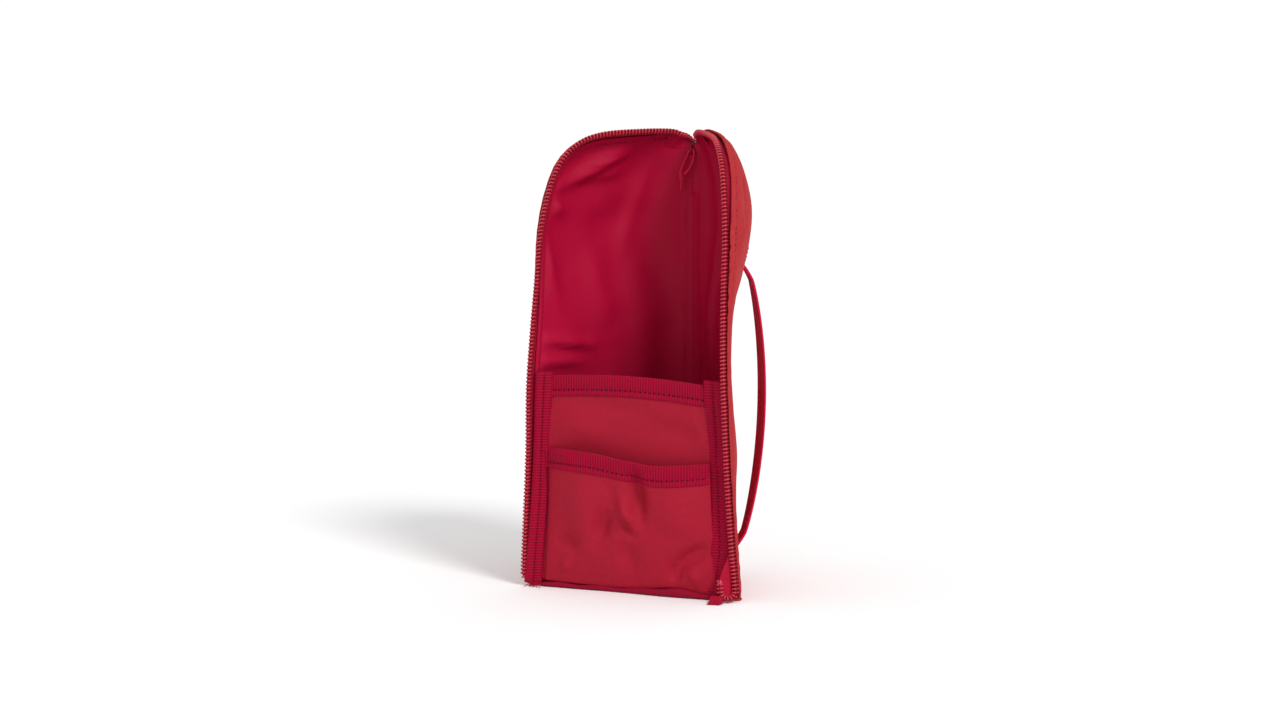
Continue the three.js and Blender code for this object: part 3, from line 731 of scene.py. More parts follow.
def ribbed(name, colour, pitch, depth_shade=0.3):
    """Ribbed tape: cords across the tape, each of twisted yarn."""
    n = Nodes(name)
    rib = n.wave(n.u, pitch)
    yarn = n.wave(n.value("ADD", n.v, n.value("MULTIPLY", n.u, 0.6)), 0.0006)
    uneven = n.noise(45.0, 3.0, 0.5)
    fuzz = n.noise(1500.0, 3.0, 0.6)
    base = n.mix(uneven, shaded(colour, 0.93), shaded(colour, 1.08), 0.3, 0.7)
    cords = n.mix(rib, shaded(colour, 1 - depth_shade), base, 0.0, 0.75)
    lit = n.mix(n.value("MULTIPLY", rib, fuzz), cords, shaded(colour, 1.35), 0.35, 0.8)
    n.link(lit, n.shader.inputs["Base Color"])
    n.cloth_finish(colour, RIBBED_ROUGHNESS, RIBBED_SHEEN, uneven)
    height = n.value("ADD", n.value("MULTIPLY", rib, 0.5),
                     n.value("ADD", n.value("MULTIPLY", yarn, 0.3), n.value("MULTIPLY", fuzz, 0.35)))
    n.bump(height, 0.45, 0.0002)
    return n.material


def smooth_finish(name, colour, rough, metallic=0.0):
    """Moulded or painted finish with slight unevenness and fine wear."""
    n = Nodes(name)
    uneven = n.noise(240.0, 3.0, 0.6)
    scratch = n.noise(1900.0, 2.0, 0.7)
    n.link(n.mix(uneven, shaded(colour, 0.84), shaded(colour, 1.12), 0.3, 0.7), n.shader.inputs["Base Color"])
    n.link(n.spread(scratch, 0.3, 0.7, rough - 0.08, rough + 0.12), n.shader.inputs["Roughness"])
    n.shader.inputs["Metallic"].default_value = metallic
    n.bump(scratch, 0.12, 0.00008)
    return n.material


OUTER_RED = linear(172, 46, 50)
LINING_RED = linear(169, 6, 51)
POCKET_RED = linear(164, 22, 46)
BINDING_RED = linear(156, 1, 44)
TAPE_RED = linear(166, 12, 46)
COIL_RED = linear(182, 40, 58)
STRAP_RED = linear(184, 2, 52)
THREAD_RED = linear(118, 4, 32)
CORD_RED = linear(206, 30, 70)
METAL_RED = linear(130, 20, 42)

outer_cloth = fabric("outer_cloth", OUTER_RED, warp=0.0007, weave=0.9, rough=0.84, sheen=0.3, shade=0.10,
                     blotch=0.05)
lining_cloth = fabric("lining_cloth", LINING_RED, warp=0.0004, weave=0.5, rough=0.6, sheen=0.35, shade=0.05,
                      relief=0.2)
# Painted shade: lining colour darkened by a third for the base's front hem roll, which lies in shadow under
# the pocket
painted_shade_hem_cloth = fabric("painted_shade_hem_cloth", shaded(LINING_RED, 0.66), warp=0.0004, weave=0.5, rough=0.7, sheen=0.2,
                   shade=0.05, relief=0.2)
pocket_cloth = fabric("pocket_cloth", POCKET_RED, warp=0.0005, weave=0.7, rough=0.68, sheen=0.3, shade=0.08)
binding_cloth = ribbed("binding_cloth", BINDING_RED, RIB_PITCH)
tape_cloth = ribbed("tape_cloth", TAPE_RED, TAPE_RIB_PITCH, 0.16)
strap_cloth = ribbed("strap_cloth", STRAP_RED, STRAP_RIB_PITCH, 0.22)
cord_cloth = fabric("cord_cloth", CORD_RED, warp=0.0006, weave=1.0, rough=0.7, sheen=0.3, shade=0.14,
                    blotch=0.08)
thread = fabric("thread", THREAD_RED, warp=0.0004, weft=0.0003, weave=0.8, rough=0.6, sheen=0.3, shade=0.10)
# Painted shade: thread colour halved so the binding stitches read as shaded pits
pit_shade_thread = fabric("pit_shade_thread", shaded(THREAD_RED, 0.5), warp=0.0004, weft=0.0003, weave=0.8, rough=0.6,
                     sheen=0.2, shade=0.10)
coil_plastic = smooth_finish("coil_plastic", COIL_RED, rough=0.42)
red_metal = smooth_finish("red_metal", METAL_RED, rough=0.34, metallic=0.4)


# Stage, light and camera
def build_stage():
    floor_mesh = bpy.data.meshes.new("floor")
    half = FLOOR_HALF
    corners = [(-half, -half, 0), (half, -half, 0), (half, half, 0), (-half, half, 0)]
    floor_mesh.from_pydata(corners, [], [(0, 1, 2, 3)])
    floor = bpy.data.objects.new("floor", floor_mesh)
    bpy.context.scene.collection.objects.link(floor)
    n = Nodes("floor_white")
    n.shader.inputs["Base Color"].default_value = (FLOOR_COLOUR, FLOOR_COLOUR, FLOOR_COLOUR, 1)
    n.shader.inputs["Roughness"].default_value = 0.95
    n.shader.inputs["Specular IOR Level"].default_value = 0.0
    floor_mesh.materials.append(n.material)
    world = bpy.data.worlds.new("studio")
    bpy.context.scene.world = world
    world.use_nodes = True
    tree = world.node_tree
    ambient = tree.nodes["Background"]
    ambient.inputs["Color"].default_value = (1, 1, 1, 1)
    ambient.inputs["Strength"].default_value = AMBIENT
    backdrop = tree.nodes.new("ShaderNodeBackground")
    backdrop.inputs["Color"].default_value = (1, 1, 1, 1)
    backdrop.inputs["Strength"].default_value = 1.0
    path = tree.nodes.new("ShaderNodeLightPath")
    either = tree.nodes.new("ShaderNodeMixShader")
    tree.links.new(path.outputs["Is Camera Ray"], either.inputs["Fac"])
    tree.links.new(ambient.outputs[0], either.inputs[1])
    tree.links.new(backdrop.outputs[0], either.inputs[2])
    tree.links.new(either.outputs[0], tree.nodes["World Output"].inputs["Surface"])


def toward(azimuth, elevation):
    """Direction from the pouch to a lamp or the camera, in radians. Azimuth 0 is in front."""
    flat = math.cos(elevation)
    return Vector((math.sin(azimuth) * flat, -math.cos(azimuth) * flat, math.sin(elevation)))


def aimed(name, data, back, place):
    """A lamp or camera at a place, looking against the direction back."""
    made = bpy.data.objects.new(name, data)
    made.location = place
    made.rotation_euler = (-back).to_track_quat("-Z", "Y").to_euler()
    bpy.context.scene.collection.objects.link(made)
    return made


def area_light(name, azimuth, elevation, distance, size, energy):
    """A soft lamp that looks at the middle of the pouch."""
    data = bpy.data.lights.new(name, "AREA")
    data.shape = "DISK"
    data.size = size
    data.energy = energy
    back = toward(math.radians(azimuth), math.radians(elevation))
    aimed(name, data, back, Vector((0, 0, RIM_HEIGHT / 2)) + back * distance)


def soft_sun(azimuth, elevation, spread, strength):
    """A wide even light from one side."""
    data = bpy.data.lights.new("sun", "SUN")
    data.angle = math.radians(spread)
    data.energy = strength
    back = toward(math.radians(azimuth), math.radians(elevation))
    aimed("sun", data, back, Vector((0, 0, 0)))


def build_camera():
    data = bpy.data.cameras.new("camera")
    data.lens = CAMERA_LENS
    data.sensor_width = SENSOR_WIDTH
    data.clip_start = 0.05
    data.clip_end = 60.0
    back = toward(CAMERA_AZIMUTH, CAMERA_ELEVATION)
    bpy.context.scene.camera = aimed("camera", data, back, CAMERA_TARGET + back * CAMERA_DISTANCE)


# Cord pull
def build_cord():
    bail_low, bail_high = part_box("zip_slider_bail")
    wire = (bail_high.x - bail_low.x) / 2
    loop_y = bail_low.y + 2 * wire + BAIL_PLAY + CORD_DIAMETER / 2
    loop_top = (bail_low.z + bail_high.z) / 2
    turn = np.pi * (2 * np.arange(CORD_STEPS + 1) / CORD_STEPS - 1) * CORD_CLOSURE_SHARE
    drop = (1 - np.cos(turn)) / 2
    wide = np.sign(turn) * np.abs(np.sin(turn)) ** CORD_WIDE_POWER * drop ** CORD_TOP_POWER
    loop = grid_of(CORD_SPREAD * wide - CORD_SHIFT * drop ** 2, loop_y - CORD_LEAN * drop,
                   loop_top - CORD_DROP * drop)
    knot_low, knot_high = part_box("pull_knot")
    knot_centre = np.array([(knot_low.x + knot_high.x) / 2, (knot_low.y + knot_high.y) / 2,
                            knot_high.z - KNOT_RADIUS])
    route = np.concatenate([loop[::-1], knot_centre - np.array(TAIL_WAY)])
    cord = tube("cord_loop", route, CORD_DIAMETER / 2, CORD_SIDES, cord_cloth)
    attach(cord, "puller")
    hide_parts("pull_cord")
    # The knot: a short length of the same cord wound round itself
    wind = np.linspace(0, 2 * np.pi * KNOT_TURNS, 60)
    wide, deep, high = KNOT_HALF
    climb = np.linspace(-high, high, 60) + high / 3 * np.sin(wind * 0.9)
    turns = knot_centre + grid_of(wide * np.cos(wind), deep * np.sin(wind), climb)
    knot = tube("cord_knot", turns, CORD_DIAMETER / 2 * 0.95, CORD_SIDES, cord_cloth)
    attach(knot, "puller")
    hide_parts("pull_knot")


# The two halves. Folds are rows of (depth, height, depth, height, width, height of the fold) in mm.
LINING_FOLDS = {
    -1: [
        (66, 184, 30, 198.5, 3.6, 4.8), (52, 194, 34, 199, 2.2, 2.6),
        (46, 187, 30, 190, 3, 2.2), (60, 170, 22, 182, 8, 1.9),
        (74.5, 187, 67, 184.5, 2.5, 3.5), (74, 176, 64, 173, 3.4, 3.8),
        (78, 160, 70, 130, 5, 2.9), (82, 115, 50, 110, 2.2, 4.2),
        (82, 105, 56, 102.5, 2.4, 2.9), (50, 156, 40, 116, 7.5, 2.2),
        (20, 60, 22, 160, 8, 2.2), (30, 150, 12, 196, 5, 1.9),
    ],
    1: [
        (7.5, 203, 9, 80, 2.6, 3.6), (12, 192, 46, 184, 4, 3),
        (22, 186, 18, 120, 4, 1.8), (60, 176, 44, 160, 5, 1.8),
        (70, 120, 46, 140, 6, 1.2), (50, 60, 50, 120, 8, 1),
    ],
}
OUTER_FOLDS = {
    -1: [
        (74, 180, 50, 170, 5, -1.7), (30, 50, 40, 110, 10, -1.4),
        (60, 120, 40, 140, 6, -1.4), (52, 30, 30, 60, 9, -1.4),
        (20, 180, 30, 140, 6, -1.7), (70, 60, 50, 90, 7, 0.9),
    ],
    1: [
        (62, 189.5, 61.2, 182, 1.4, -2.9), (78.5, 169, 76.5, 156, 1.4, -3.1),
        (56, 199, 52, 188, 2.2, -2.3), (73, 176, 70, 160, 3, 1.6),
        (64, 140, 44, 116, 5, -1.7), (36, 30, 50, 80, 10, -1.4),
        (68, 50, 50, 90, 8, 0.9), (30, 196, 24, 170, 4, -2.2), (60, 186, 70, 160, 4, -1.3),
    ],
}
LINING_NOISE = [(0.0007, 38.0, 3), (0.00045, 90.0, 9)]
SHELL_NOISE = [(0.0005, 30.0, 11), (0.0003, 75.0, 15)]
LINING_INNER_ROWS = [(0, -0.0004), (0.0008, -0.0006), (0.0015, -0.0005), (0.002, -0.0001), (0.0026, -0.0002),
                     (0.0075, 0)]
LINING_THICK_ROWS = [(0, 0.0010), (0.002, 0.0008), (0.004, LINING_THICKNESS)]
LINING_REACH = (0.00045, 0.0011)
SHELL_OUTER_ROWS = [(0, 0.0024), (0.0008, 0.0028), (0.0015, 0.0027), (0.002, 0.0023), (0.0026, 0.0028),
                    (0.004, 0.0031), (0.0075, SHELL_OFFSET)]
SHELL_INNER_ROWS = [(0, 0.0014), (0.004, SHELL_INNER)]
SHELL_THINNEST = 0.0006
SHELL_CLEAR_BELOW = 0.008
PUCKER_HEIGHT = 0.00016
PUCKER_PITCH = 0.0068
PUCKER_PLACE = 0.0035
SEAM_INSET = 0.002
LINING_SEAM_OUT = -0.0001
SHELL_SEAM_OUT = 0.0023
WALL_COLS = 46
EDGE = Edge(120)


def creases(side, s, z, folds, rounds):
    """Folds over a half with rounds of noise, each (height, scale, seed)."""
    flat = skin_point(side, s, z, 0)
    waves = ridges(s, z, folds[side])
    for height, scale, seed in rounds:
        waves = waves + height * fine_noise(flat, scale, seed + side)
    return waves


def seam(side, word, layer, hem, facing, out):
    """Stitches along the hem of a layer, on the inner (-1) or outer (1) side of it."""
    s, z = EDGE.inset(hem + SEAM_INSET)[CORNER_ROWS:-2].T
    normal = skin_normal(side, s, z) * facing
    row = stitches(f"{word}_{layer}_stitches", skin_point(side, s, z, out), normal, thread, f"{layer}_fabric")
    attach(row, f"{word}_half")


def build_lining(side, word):
    hem = read_table(LINING_EDGE_ROWS[side], EDGE.share)
    s, z = wall_grid(hem)
    waves = creases(side, s, z, LINING_FOLDS, LINING_NOISE)
    ease = smooth((rim_distance(s, z) - hem[:, None] - 0.001) / 0.004)
    inner = np.minimum(by_hem(LINING_INNER_ROWS) - waves * ease, LINING_REACH[0])
    front = skin_point(side, s, z, inner)
    back = skin_point(side, s, z, np.minimum(inner + by_hem(LINING_THICK_ROWS), LINING_REACH[1]))
    lining = sheet(f"{word}_lining_cloth", front, back, lining_cloth)
    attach(lining, f"{word}_half")
    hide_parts(f"{word}_lining")
    seam(side, word, "lining", hem, -1, LINING_SEAM_OUT)


def build_shell(side, word):
    hem = read_table(SHELL_EDGE_ROWS[side], EDGE.share)
    s, z = wall_grid(hem)
    # The back edge keeps clear of the slider's run
    run_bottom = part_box("spine_coil_left")[0].z - SHELL_CLEAR_BELOW
    s = s + SLIDER_CLEARANCE * smooth((z - run_bottom) / 0.006) * np.exp(-(s / 0.005) ** 2)
    inside = rim_distance(s, z) - hem[:, None]
    arc = EDGE.share[:, None] * RIM_LENGTH
    pucker = PUCKER_HEIGHT * np.sin(2 * np.pi * (arc + 0.002 * np.sin(arc / 0.011)) / PUCKER_PITCH)
    pucker = pucker * np.exp(-((inside - PUCKER_PLACE) / PUCKER_PLACE) ** 2)
    waves = creases(side, s, z, OUTER_FOLDS, SHELL_NOISE)
    if side > 0:
        # The sewn upper end of the strap pulls the padding in
        waves = waves - ANCHOR_DENT * np.exp(-((s - STRAP_TOP_DEPTH) / 0.009) ** 2
                                             - ((z - STRAP_TOP + ANCHOR_LENGTH / 2) / 0.010) ** 2)
    outer = by_hem(SHELL_OUTER_ROWS) + waves * smooth((inside - 0.001) / 0.0035)
    inner = by_hem(SHELL_INNER_ROWS)
    front = skin_point(side, s, z, np.maximum(outer, inner + SHELL_THINNEST) + pucker)
    shell = sheet(f"{word}_outer_shell", front, skin_point(side, s, z, inner), outer_cloth)
    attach(shell, f"{word}_half")
    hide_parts(f"{word}_outer_panel", f"{word}_padding")
    seam(side, word, "outer", hem, 1, SHELL_SEAM_OUT)


class Track:
    """The way of a zip coil: places, the direction of its teeth's tips and the face that shows."""

    def __init__(self, side):
        edge = Edge(400)
        place = edge.inset(COIL_INSET)
        out = np.full(edge.count, RIM_STANDOFF)
        spot = half_point(side, place[:, 0], place[:, 1], out)
        ahead = half_point(side, place[:, 0] + edge.normal[:, 0] * PROBE, place[:, 1], out) - spot
        p = unit(ahead) * np.abs(edge.normal[:, :1]) + np.array([0, 0, 1.0]) * edge.normal[:, 1:]
        angle = open_angle(place[:, 1])
        q = -grid_of(side * np.cos(angle), np.sin(angle), 0.0)
        tilt = np.radians(read_table(TILT_ROWS[side], edge.share))[:, None]
        tips = np.cos(tilt) * p + np.sin(tilt) * q
        # The face that shows is the inner one at the left and the outer one at the right
        face = (np.cos(tilt) * q - np.sin(tilt) * p) * -side
        self.edge, self.spot, self.rim_tips, self.rim_face = edge, spot, tips, face
        if side < 0:
            first = 0
            before, before_tips, before_face = self.left_end(spot, tips, face)
        else:
            first = HOOK_FIRST
            before, before_tips, before_face = self.hook(spot[first], p[first], q[first])
        after, after_tips, after_face = self.top_end(side, spot[-1], tips[-1], face[-1])
        self.place = np.concatenate([before, spot[first:], after])
        self.rim_end = len(before) + len(spot) - first - 1
        self.tips = unit(np.concatenate([before_tips, tips[first:], after_tips]))
        self.face = unit(np.concatenate([before_face, face[first:], after_face]))
        self.arc = running_length(self.place)

    @staticmethod
    def left_end(spot, tips, face):
        """The coil runs on under the corner for a few teeth."""
        onward = unit(spot[0] - spot[1])
        reach = np.linspace(LEFT_RUN, 0.0003, 8)[:, None]
        lift = np.array([0, 0, 0.0002]) * (reach / LEFT_RUN) ** 2
        return spot[0] + onward * reach + lift, np.tile(tips[0], (8, 1)), np.tile(face[0], (8, 1))

    @staticmethod
    def hook(top, p, q):
        """At the right the coil turns under and doubles back up inside the corner."""
        up = np.array([0, 0, 1.0])
        bottom = EDGE_FLOOR + HOOK_RADIUS - 0.0001
        centre = np.array([top[0], top[1], bottom]) + q * HOOK_RADIUS
        rise = np.linspace(HOOK_LEG, 0, 13)[:-1, None]
        inner = centre + q * HOOK_RADIUS + up * rise - p * rise * 0.25
        turn = np.linspace(0, np.pi, 20)[:-1, None]
        bend = centre + q * HOOK_RADIUS * np.cos(turn) - up * HOOK_RADIUS * np.sin(turn)
        leg = grid_of(top[0], top[1], np.linspace(bottom, top[2], 8)[:-1])
        places = np.concatenate([inner, bend, leg])
        tips = np.concatenate([np.tile(-q, (12, 1)), unit(centre - bend), np.tile(q, (7, 1))])
        return places, tips, np.tile(p, (len(places), 1))

    @staticmethod
    def top_end(side, last, tips, face):
        """From the top of the zip edge down into the slider and the spine."""
        coil_low, coil_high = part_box("spine_coil_left" if side < 0 else "spine_coil_right")
        x = side * SPINE_COIL_X
        y = (coil_low.y + coil_high.y) / 2
        mouth = np.array([x, y, coil_high.z - 0.0006])
        start_way = np.array([-side * 0.0035, 0.0055, 0.0002])
        end_way = np.array([0, 0.0008, -0.0060])
        t = np.linspace(0, 1, 26)[1:, None]
        bend = ((2 * t - 3) * t * t + 1) * last + (3 - 2 * t) * t * t * mouth \
            + ((t - 2) * t + 1) * t * start_way + (t - 1) * t * t * end_way
        levels = np.linspace(mouth[2], coil_low.z, SPINE_COIL_ROWS + 1)[1:]
        down = grid_of(x, y, levels)
        inward = np.array([-side, 0, 0.0])
        front = np.array([0, -1.0, 0])
        share = smooth(t)
        return (np.concatenate([bend, down]),
                np.concatenate([tips * (1 - share) + inward * share, np.tile(inward, (SPINE_COIL_ROWS, 1))]),
                np.concatenate([face * (1 - share) + front * share, np.tile(front, (SPINE_COIL_ROWS, 1))]))

    def read(self, at):
        """Places, tip directions and face directions at running lengths."""
        return (along(self.place, self.arc, at), unit(along(self.tips, self.arc, at)),
                unit(along(self.face, self.arc, at)))


def blend_at_spine(piece):
    """Bakes the piece's placement into its mesh."""
    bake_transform(piece)


def build_zip(side, word):
    track = Track(side)
    turns = int(track.arc[-1] / COIL_PITCH)
    phase = 2 * np.pi * np.arange(turns * COIL_STEPS + 1) / COIL_STEPS
    at = COIL_PITCH * (phase / (2 * np.pi) + COIL_SLANT * np.cos(phase))
    at = np.clip(at, 0, track.arc[-1])
    centre, tips, face = track.read(at)
    narrow = 1 - 0.26 * smooth((at - track.arc[-1] + NARROW_LENGTH) / 0.006)
    path = centre + tips * (COIL_REACH * np.cos(phase) * narrow)[:, None] \
        + face * (COIL_HEIGHT * np.sin(phase) * narrow)[:, None]
    wire = COIL_WIRE * (0.9 + 0.1 * narrow)
    coil = tube(f"{word}_coil_teeth", path, wire, COIL_SIDES, coil_plastic)
    blend_at_spine(coil)
    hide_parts(f"{word}_zip_coil", f"spine_coil_{word}")
    # Filler cord inside the coil, and the chain stitch that holds the coil to the tape
    centre, tips, face = track.read(np.arange(0, track.arc[-1], 0.0006))
    core = tube(f"{word}_coil_core", centre - tips * 0.0002, FILLER_RADIUS, 8, tape_cloth)
    blend_at_spine(core)
    fine = np.arange(0, track.arc[-1] - 0.024, COIL_PITCH / 6)
    centre, tips, face = track.read(fine)
    over = COIL_HEIGHT + COIL_WIRE * (0.75 + 0.45 * np.cos(2 * np.pi * fine / COIL_PITCH - np.pi / 2))
    way = centre - tips * CHAIN_SETBACK + face * over[:, None]
    chain = tube(f"{word}_coil_chain", way, CHAIN_RADIUS, 5, thread)
    blend_at_spine(chain)
    # The stop: a small clip pressed round the end of the coil
    centre = track.read(np.linspace(0.0001, STOP_LENGTH, 9))[0]
    swollen = STOP_RADIUS * np.sqrt(np.clip(1 - np.linspace(-1, 1, 9) ** 4, 0.1, 1))
    stop = tube(f"{word}_zip_stop", centre, swollen, 10, coil_plastic)
    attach(stop, f"{word}_half")
    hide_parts(f"{word}_zip_top_stop")
    build_tape(side, word, track)
    build_notch_web(side, word, track)


def build_notch_web(side, word, track):
    """Lining that closes the notch between the end of the zip edge and the spine."""
    at = np.linspace(track.arc[track.rim_end] - 0.006, track.arc[track.rim_end + 23], NOTCH_ROWS)
    top, tips = track.read(at)[:2]
    top = top - tips * 0.0003
    s = NOTCH_START + (SPINE_START - NOTCH_START) * np.linspace(0, 1, NOTCH_ROWS)
    foot = skin_point(side, s, SPINE_TOP - 0.0035, 0.0002)
    v = np.linspace(0, 1, 8)[None, :, None]
    middle = top[:, None] + (foot - top)[:, None] * v
    half = np.array([side * 1.0, 0.35, 0]) * NOTCH_HALF_THICKNESS
    web = sheet(f"{word}_notch_lining", middle - half, middle + half, lining_cloth)
    blend_at_spine(web)


def build_tape(side, word, track):
    edge, spot, tips, face = track.edge, track.spot, track.rim_tips, track.rim_face
    knots = [spot + tips * 0.0001 - face * 0.0011, spot - tips * 0.0011 - face * 0.0011]
    shrink = 1 - 0.6 * smooth((edge.share - 0.9) / 0.1)
    for inset in TAPE_INSETS:
        s, z = edge.inset(inset * shrink).T
        knots.append(skin_point(side, s, np.maximum(z, WALL_BOTTOM), TAPE_OFFSET))
    middle = through(np.stack(knots), np.linspace(0, len(knots) - 1, TAPE_COLS)).swapaxes(0, 1)
    if side > 0:
        middle = middle[CORNER_ROWS:]
    normal = grid_normals(middle)
    arc = running_length(middle[:, 3])[:, None, None]
    ribs = TAPE_RIB_DEPTH * np.sin(2 * np.pi * arc / TAPE_RIB_PITCH)
    front = middle + normal * (TAPE_THICKNESS / 2 + ribs)
    back = middle - normal * (TAPE_THICKNESS / 2)
    front[..., 2] = np.maximum(front[..., 2], 0.0005)
    back[..., 2] = np.maximum(back[..., 2], 0.0003)
    places = surface_lengths(middle)[..., ::-1]
    tape = sheet(f"{word}_zip_tape_cloth", front, back, tape_cloth, places)
    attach(tape, f"{word}_half")
    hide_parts(f"{word}_zip_tape", f"{word}_zip_tape_end")
    if side > 0:
        build_tongue(track)


def build_tongue(track):
    """Smooth end of the tape that the doubled-back coil at the right goes round."""
    top, tips, face = (way[HOOK_FIRST] for way in (track.spot, track.rim_tips, track.rim_face))
    t = np.linspace(0, 1, 30)
    z = 0.0030 + 0.023 * t
    width = 2 * HOOK_RADIUS * (1 - 0.75 * smooth((t - 0.3) / 0.7)) - 0.0006
    u = np.linspace(0, 1, 9)
    across = 0.0004 + u[None, :] * width[:, None]
    belly = 0.0009 * np.sin(np.pi * u)[None, :] * (1 - t)[:, None]
    base = np.array([top[0], top[1], 0.0])
    front = base + tips * across[..., None] - face * (0.0013 - belly)[..., None]
    front[..., 2] = z[:, None] - 0.0014 * np.sin(np.pi * u)[None, :] * (1 - smooth(t * 4))[:, None]
    back = front - face * 0.0006
    tongue = sheet("right_zip_tape_return", front, back, tape_cloth)
    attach(tongue, "right_half")


# Middle of each cut tape end at the bottom corners, its half width and its number of yarns
FRAYED_ENDS = [
    ("left", (-0.0478, -0.0334, 0.0012), 0.0042, 14),
    ("right", (0.0462, -0.0385, 0.0013), 0.0034, 16),
]


def build_frayed_ends():
    """Cut tape ends and loose yarns at the two bottom corners."""
    generator = np.random.default_rng(7)
    for word, at, spread, count in FRAYED_ENDS:
        strands = []
        for k in range(count):
            root = np.array(at) + (generator.uniform(-spread, spread), generator.uniform(-0.0008, 0.0012), 0)
            reach = generator.uniform(0.0018, 0.0044)
            heading = np.array([generator.uniform(-0.5, 0.5), -1.0, 0.0]) * reach * 0.8
            t = np.linspace(0, 1, 7)[:, None]
            curl = generator.uniform(-0.0006, 0.0006)
            line = root + heading * t + np.array([curl, 0, 0]) * t ** 2
            line[:, 2] = 0.0022 - 0.0019 * t[:, 0] ** 0.6
            strands.append(tube(f"{word}_yarn_{k}", line, YARN_RADIUS, 5, tape_cloth))
        yarns = joined(f"{word}_loose_yarns", strands)
        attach(yarns, f"{word}_half")
    # The right tape end lies bent under the corner
    u, v = np.meshgrid(np.linspace(-1, 1, 9), np.linspace(0, 1, 10))
    x = 0.0462 + 0.0028 * u + 0.0006 * v
    y = -0.0372 - 0.0066 * v + 0.0006 * u * v
    z = 0.0034 - 0.0028 * smooth(v * 1.2) + 0.0004 * np.sin(3 * u) * v
    front = grid_of(x, y, np.maximum(z, 0.0007))
    tail = sheet("right_tape_tail", front, front - (0, 0, 0.0004), tape_cloth)
    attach(tail, "right_half")


# Front pocket
FRONT_EDGE_Y = float(half_point(1, RIM_DEPTH, 0.0, RIM_STANDOFF)[1])
PROBE_HEIGHTS = np.linspace(0.001, 0.102, 60)
PROBE_ROUNDS = 24


def probe_half_width(setback):
    """Half the width between the linings at a distance behind the front edge, for the probe heights."""
    pocket_y = FRONT_EDGE_Y + setback
    near = np.full(len(PROBE_HEIGHTS), SPINE_START)
    far = np.full(len(PROBE_HEIGHTS), RIM_DEPTH)
    for _ in range(PROBE_ROUNDS):
        middle = (near + far) / 2
        inside = lining_point(1, middle, PROBE_HEIGHTS)[:, 1] > pocket_y
        near = np.where(inside, middle, near)
        far = np.where(inside, far, middle)
    return lining_point(1, near, PROBE_HEIGHTS)[:, 0] - POCKET_SIDE_GAP, pocket_y


POCKET_WIDTHS, POCKET_Y = probe_half_width(POCKET_SETBACK)
FRONT_WIDTHS = probe_half_width(POCKET_SETBACK - LEFT_BINDING_FORWARD)[0]
BESIDE = SIDE_BINDING_WIDTH - 0.0016


def pocket_half_width(z):
    return np.interp(z, PROBE_HEIGHTS, POCKET_WIDTHS)


END_X = float(pocket_half_width(0.05))


def upper_edge(across):
    return POCKET_HEIGHT + POCKET_ARCH * np.cos(np.pi / 2 * across) - 0.0006 * across


def lower_edge(across):
    return FRONT_POCKET_HEIGHT - FRONT_POCKET_SAG * read_table(FRONT_EDGE_SHARES, across)


def bottom_edge(across):
    lens = BOTTOM_LENS_HEIGHT * np.exp(-((across - BOTTOM_LENS_PLACE) / BOTTOM_LENS_WIDTH) ** 2)
    return POCKET_BOTTOM - POCKET_BOTTOM_TILT * across + lens


def pocket_bulge(across, z):
    sideways = np.maximum(np.cos(np.pi / 2 * np.clip(across / BULGE_SPAN, -1, 1)), 0)
    up = np.maximum(np.sin(np.pi / 2 * np.clip((z - POCKET_BOTTOM) / FRONT_POCKET_HEIGHT, 0, 1)), 0)
    return FRONT_POCKET_BULGE * sideways ** BULGE_ACROSS_POWER * up ** BULGE_UP_POWER


POCKET_FOLDS = [
    (-22.5, 57, -20, 22, 9.5, 3.2), (-9, 40, -14, 24, 4, -4.3),
    (-6, 52, -4, 34, 4.5, -1.4), (-2, 44, 5, 32, 3, 3.5),
    (-2, 36, 3.5, 28, 2.2, -2.6), (5, 58, 7.8, 36, 4.2, -5.8),
    (25, 52, 27, 28, 10, 3.2), (23.5, 14.5, 40, 24.5, 3.8, -4.9),
    (30, 9, 36, 12, 4.5, 2.6), (22.5, 7, 24.3, 15.5, 3, -3.2),
    (-30, 27, -27, 19, 4.5, -3.2), (0, 25, 2.6, 9, 5, -2.3),
    (-34, 8, -30, 14, 2.5, 1.7), (-36, 20, -33, 24, 2.5, -1.4),
]
BACK_FOLDS = [
    (-36, 78, -10, 72, 6, 1.5), (4, 78, 34, 74, 5, -1.2),
    (-20, 86, 10, 84, 3, -0.9), (30, 86, 40, 64, 4, 0.9),
]


def back_panel_front(x, across, z):
    """Distance of the upper pocket's face in front of the pocket's plane."""
    sag = 0.0012 * np.sin(np.pi * np.clip((z - POCKET_BOTTOM) / POCKET_HEIGHT, 0, 1))
    return sag * np.cos(np.pi / 2 * across) + ridges(x, z, BACK_FOLDS)


def front_panel_front(x, across, z):
    waves = ridges(x, z, POCKET_FOLDS) * np.cos(np.pi / 2 * np.clip(across * 0.98, -1, 1)) ** 0.35
    return POCKET_THICKNESS + 0.0003 + np.maximum(pocket_bulge(across, z) + waves, 0)


def pocket_grid(rows, cols, side_inset, top_at):
    """Places over a panel of the pocket: x, across and z."""
    u = np.linspace(-1, 1, cols)
    v = np.linspace(0, 1, rows)
    level = bottom_edge(0.0) + (top_at(0.0) - bottom_edge(0.0)) * v
    whole = pocket_half_width(level)[:, None]
    x = (whole - side_inset) * u
    across = x / whole
    z = bottom_edge(across) + (top_at(across) - bottom_edge(across)) * v[:, None]
    return x, across, z


def in_two(name, front, back, material, node, places=None):
    """A piece across the middle as a left and a right sheet that meet at x = 0."""
    cols = front.shape[1]
    middle = cols // 2
    normals = grid_normals(front)[:, middle]
    if places is None:
        places = surface_lengths(front)
    for side, word in SIDES:
        part = slice(0, middle + 1) if side < 0 else slice(middle, cols)
        made = sheet(f"{word}_{name}", front[:, part], back[:, part], material, places[:, part],
                     "end" if side < 0 else "start", normals)
        bend(made, side, word)
        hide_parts(node)


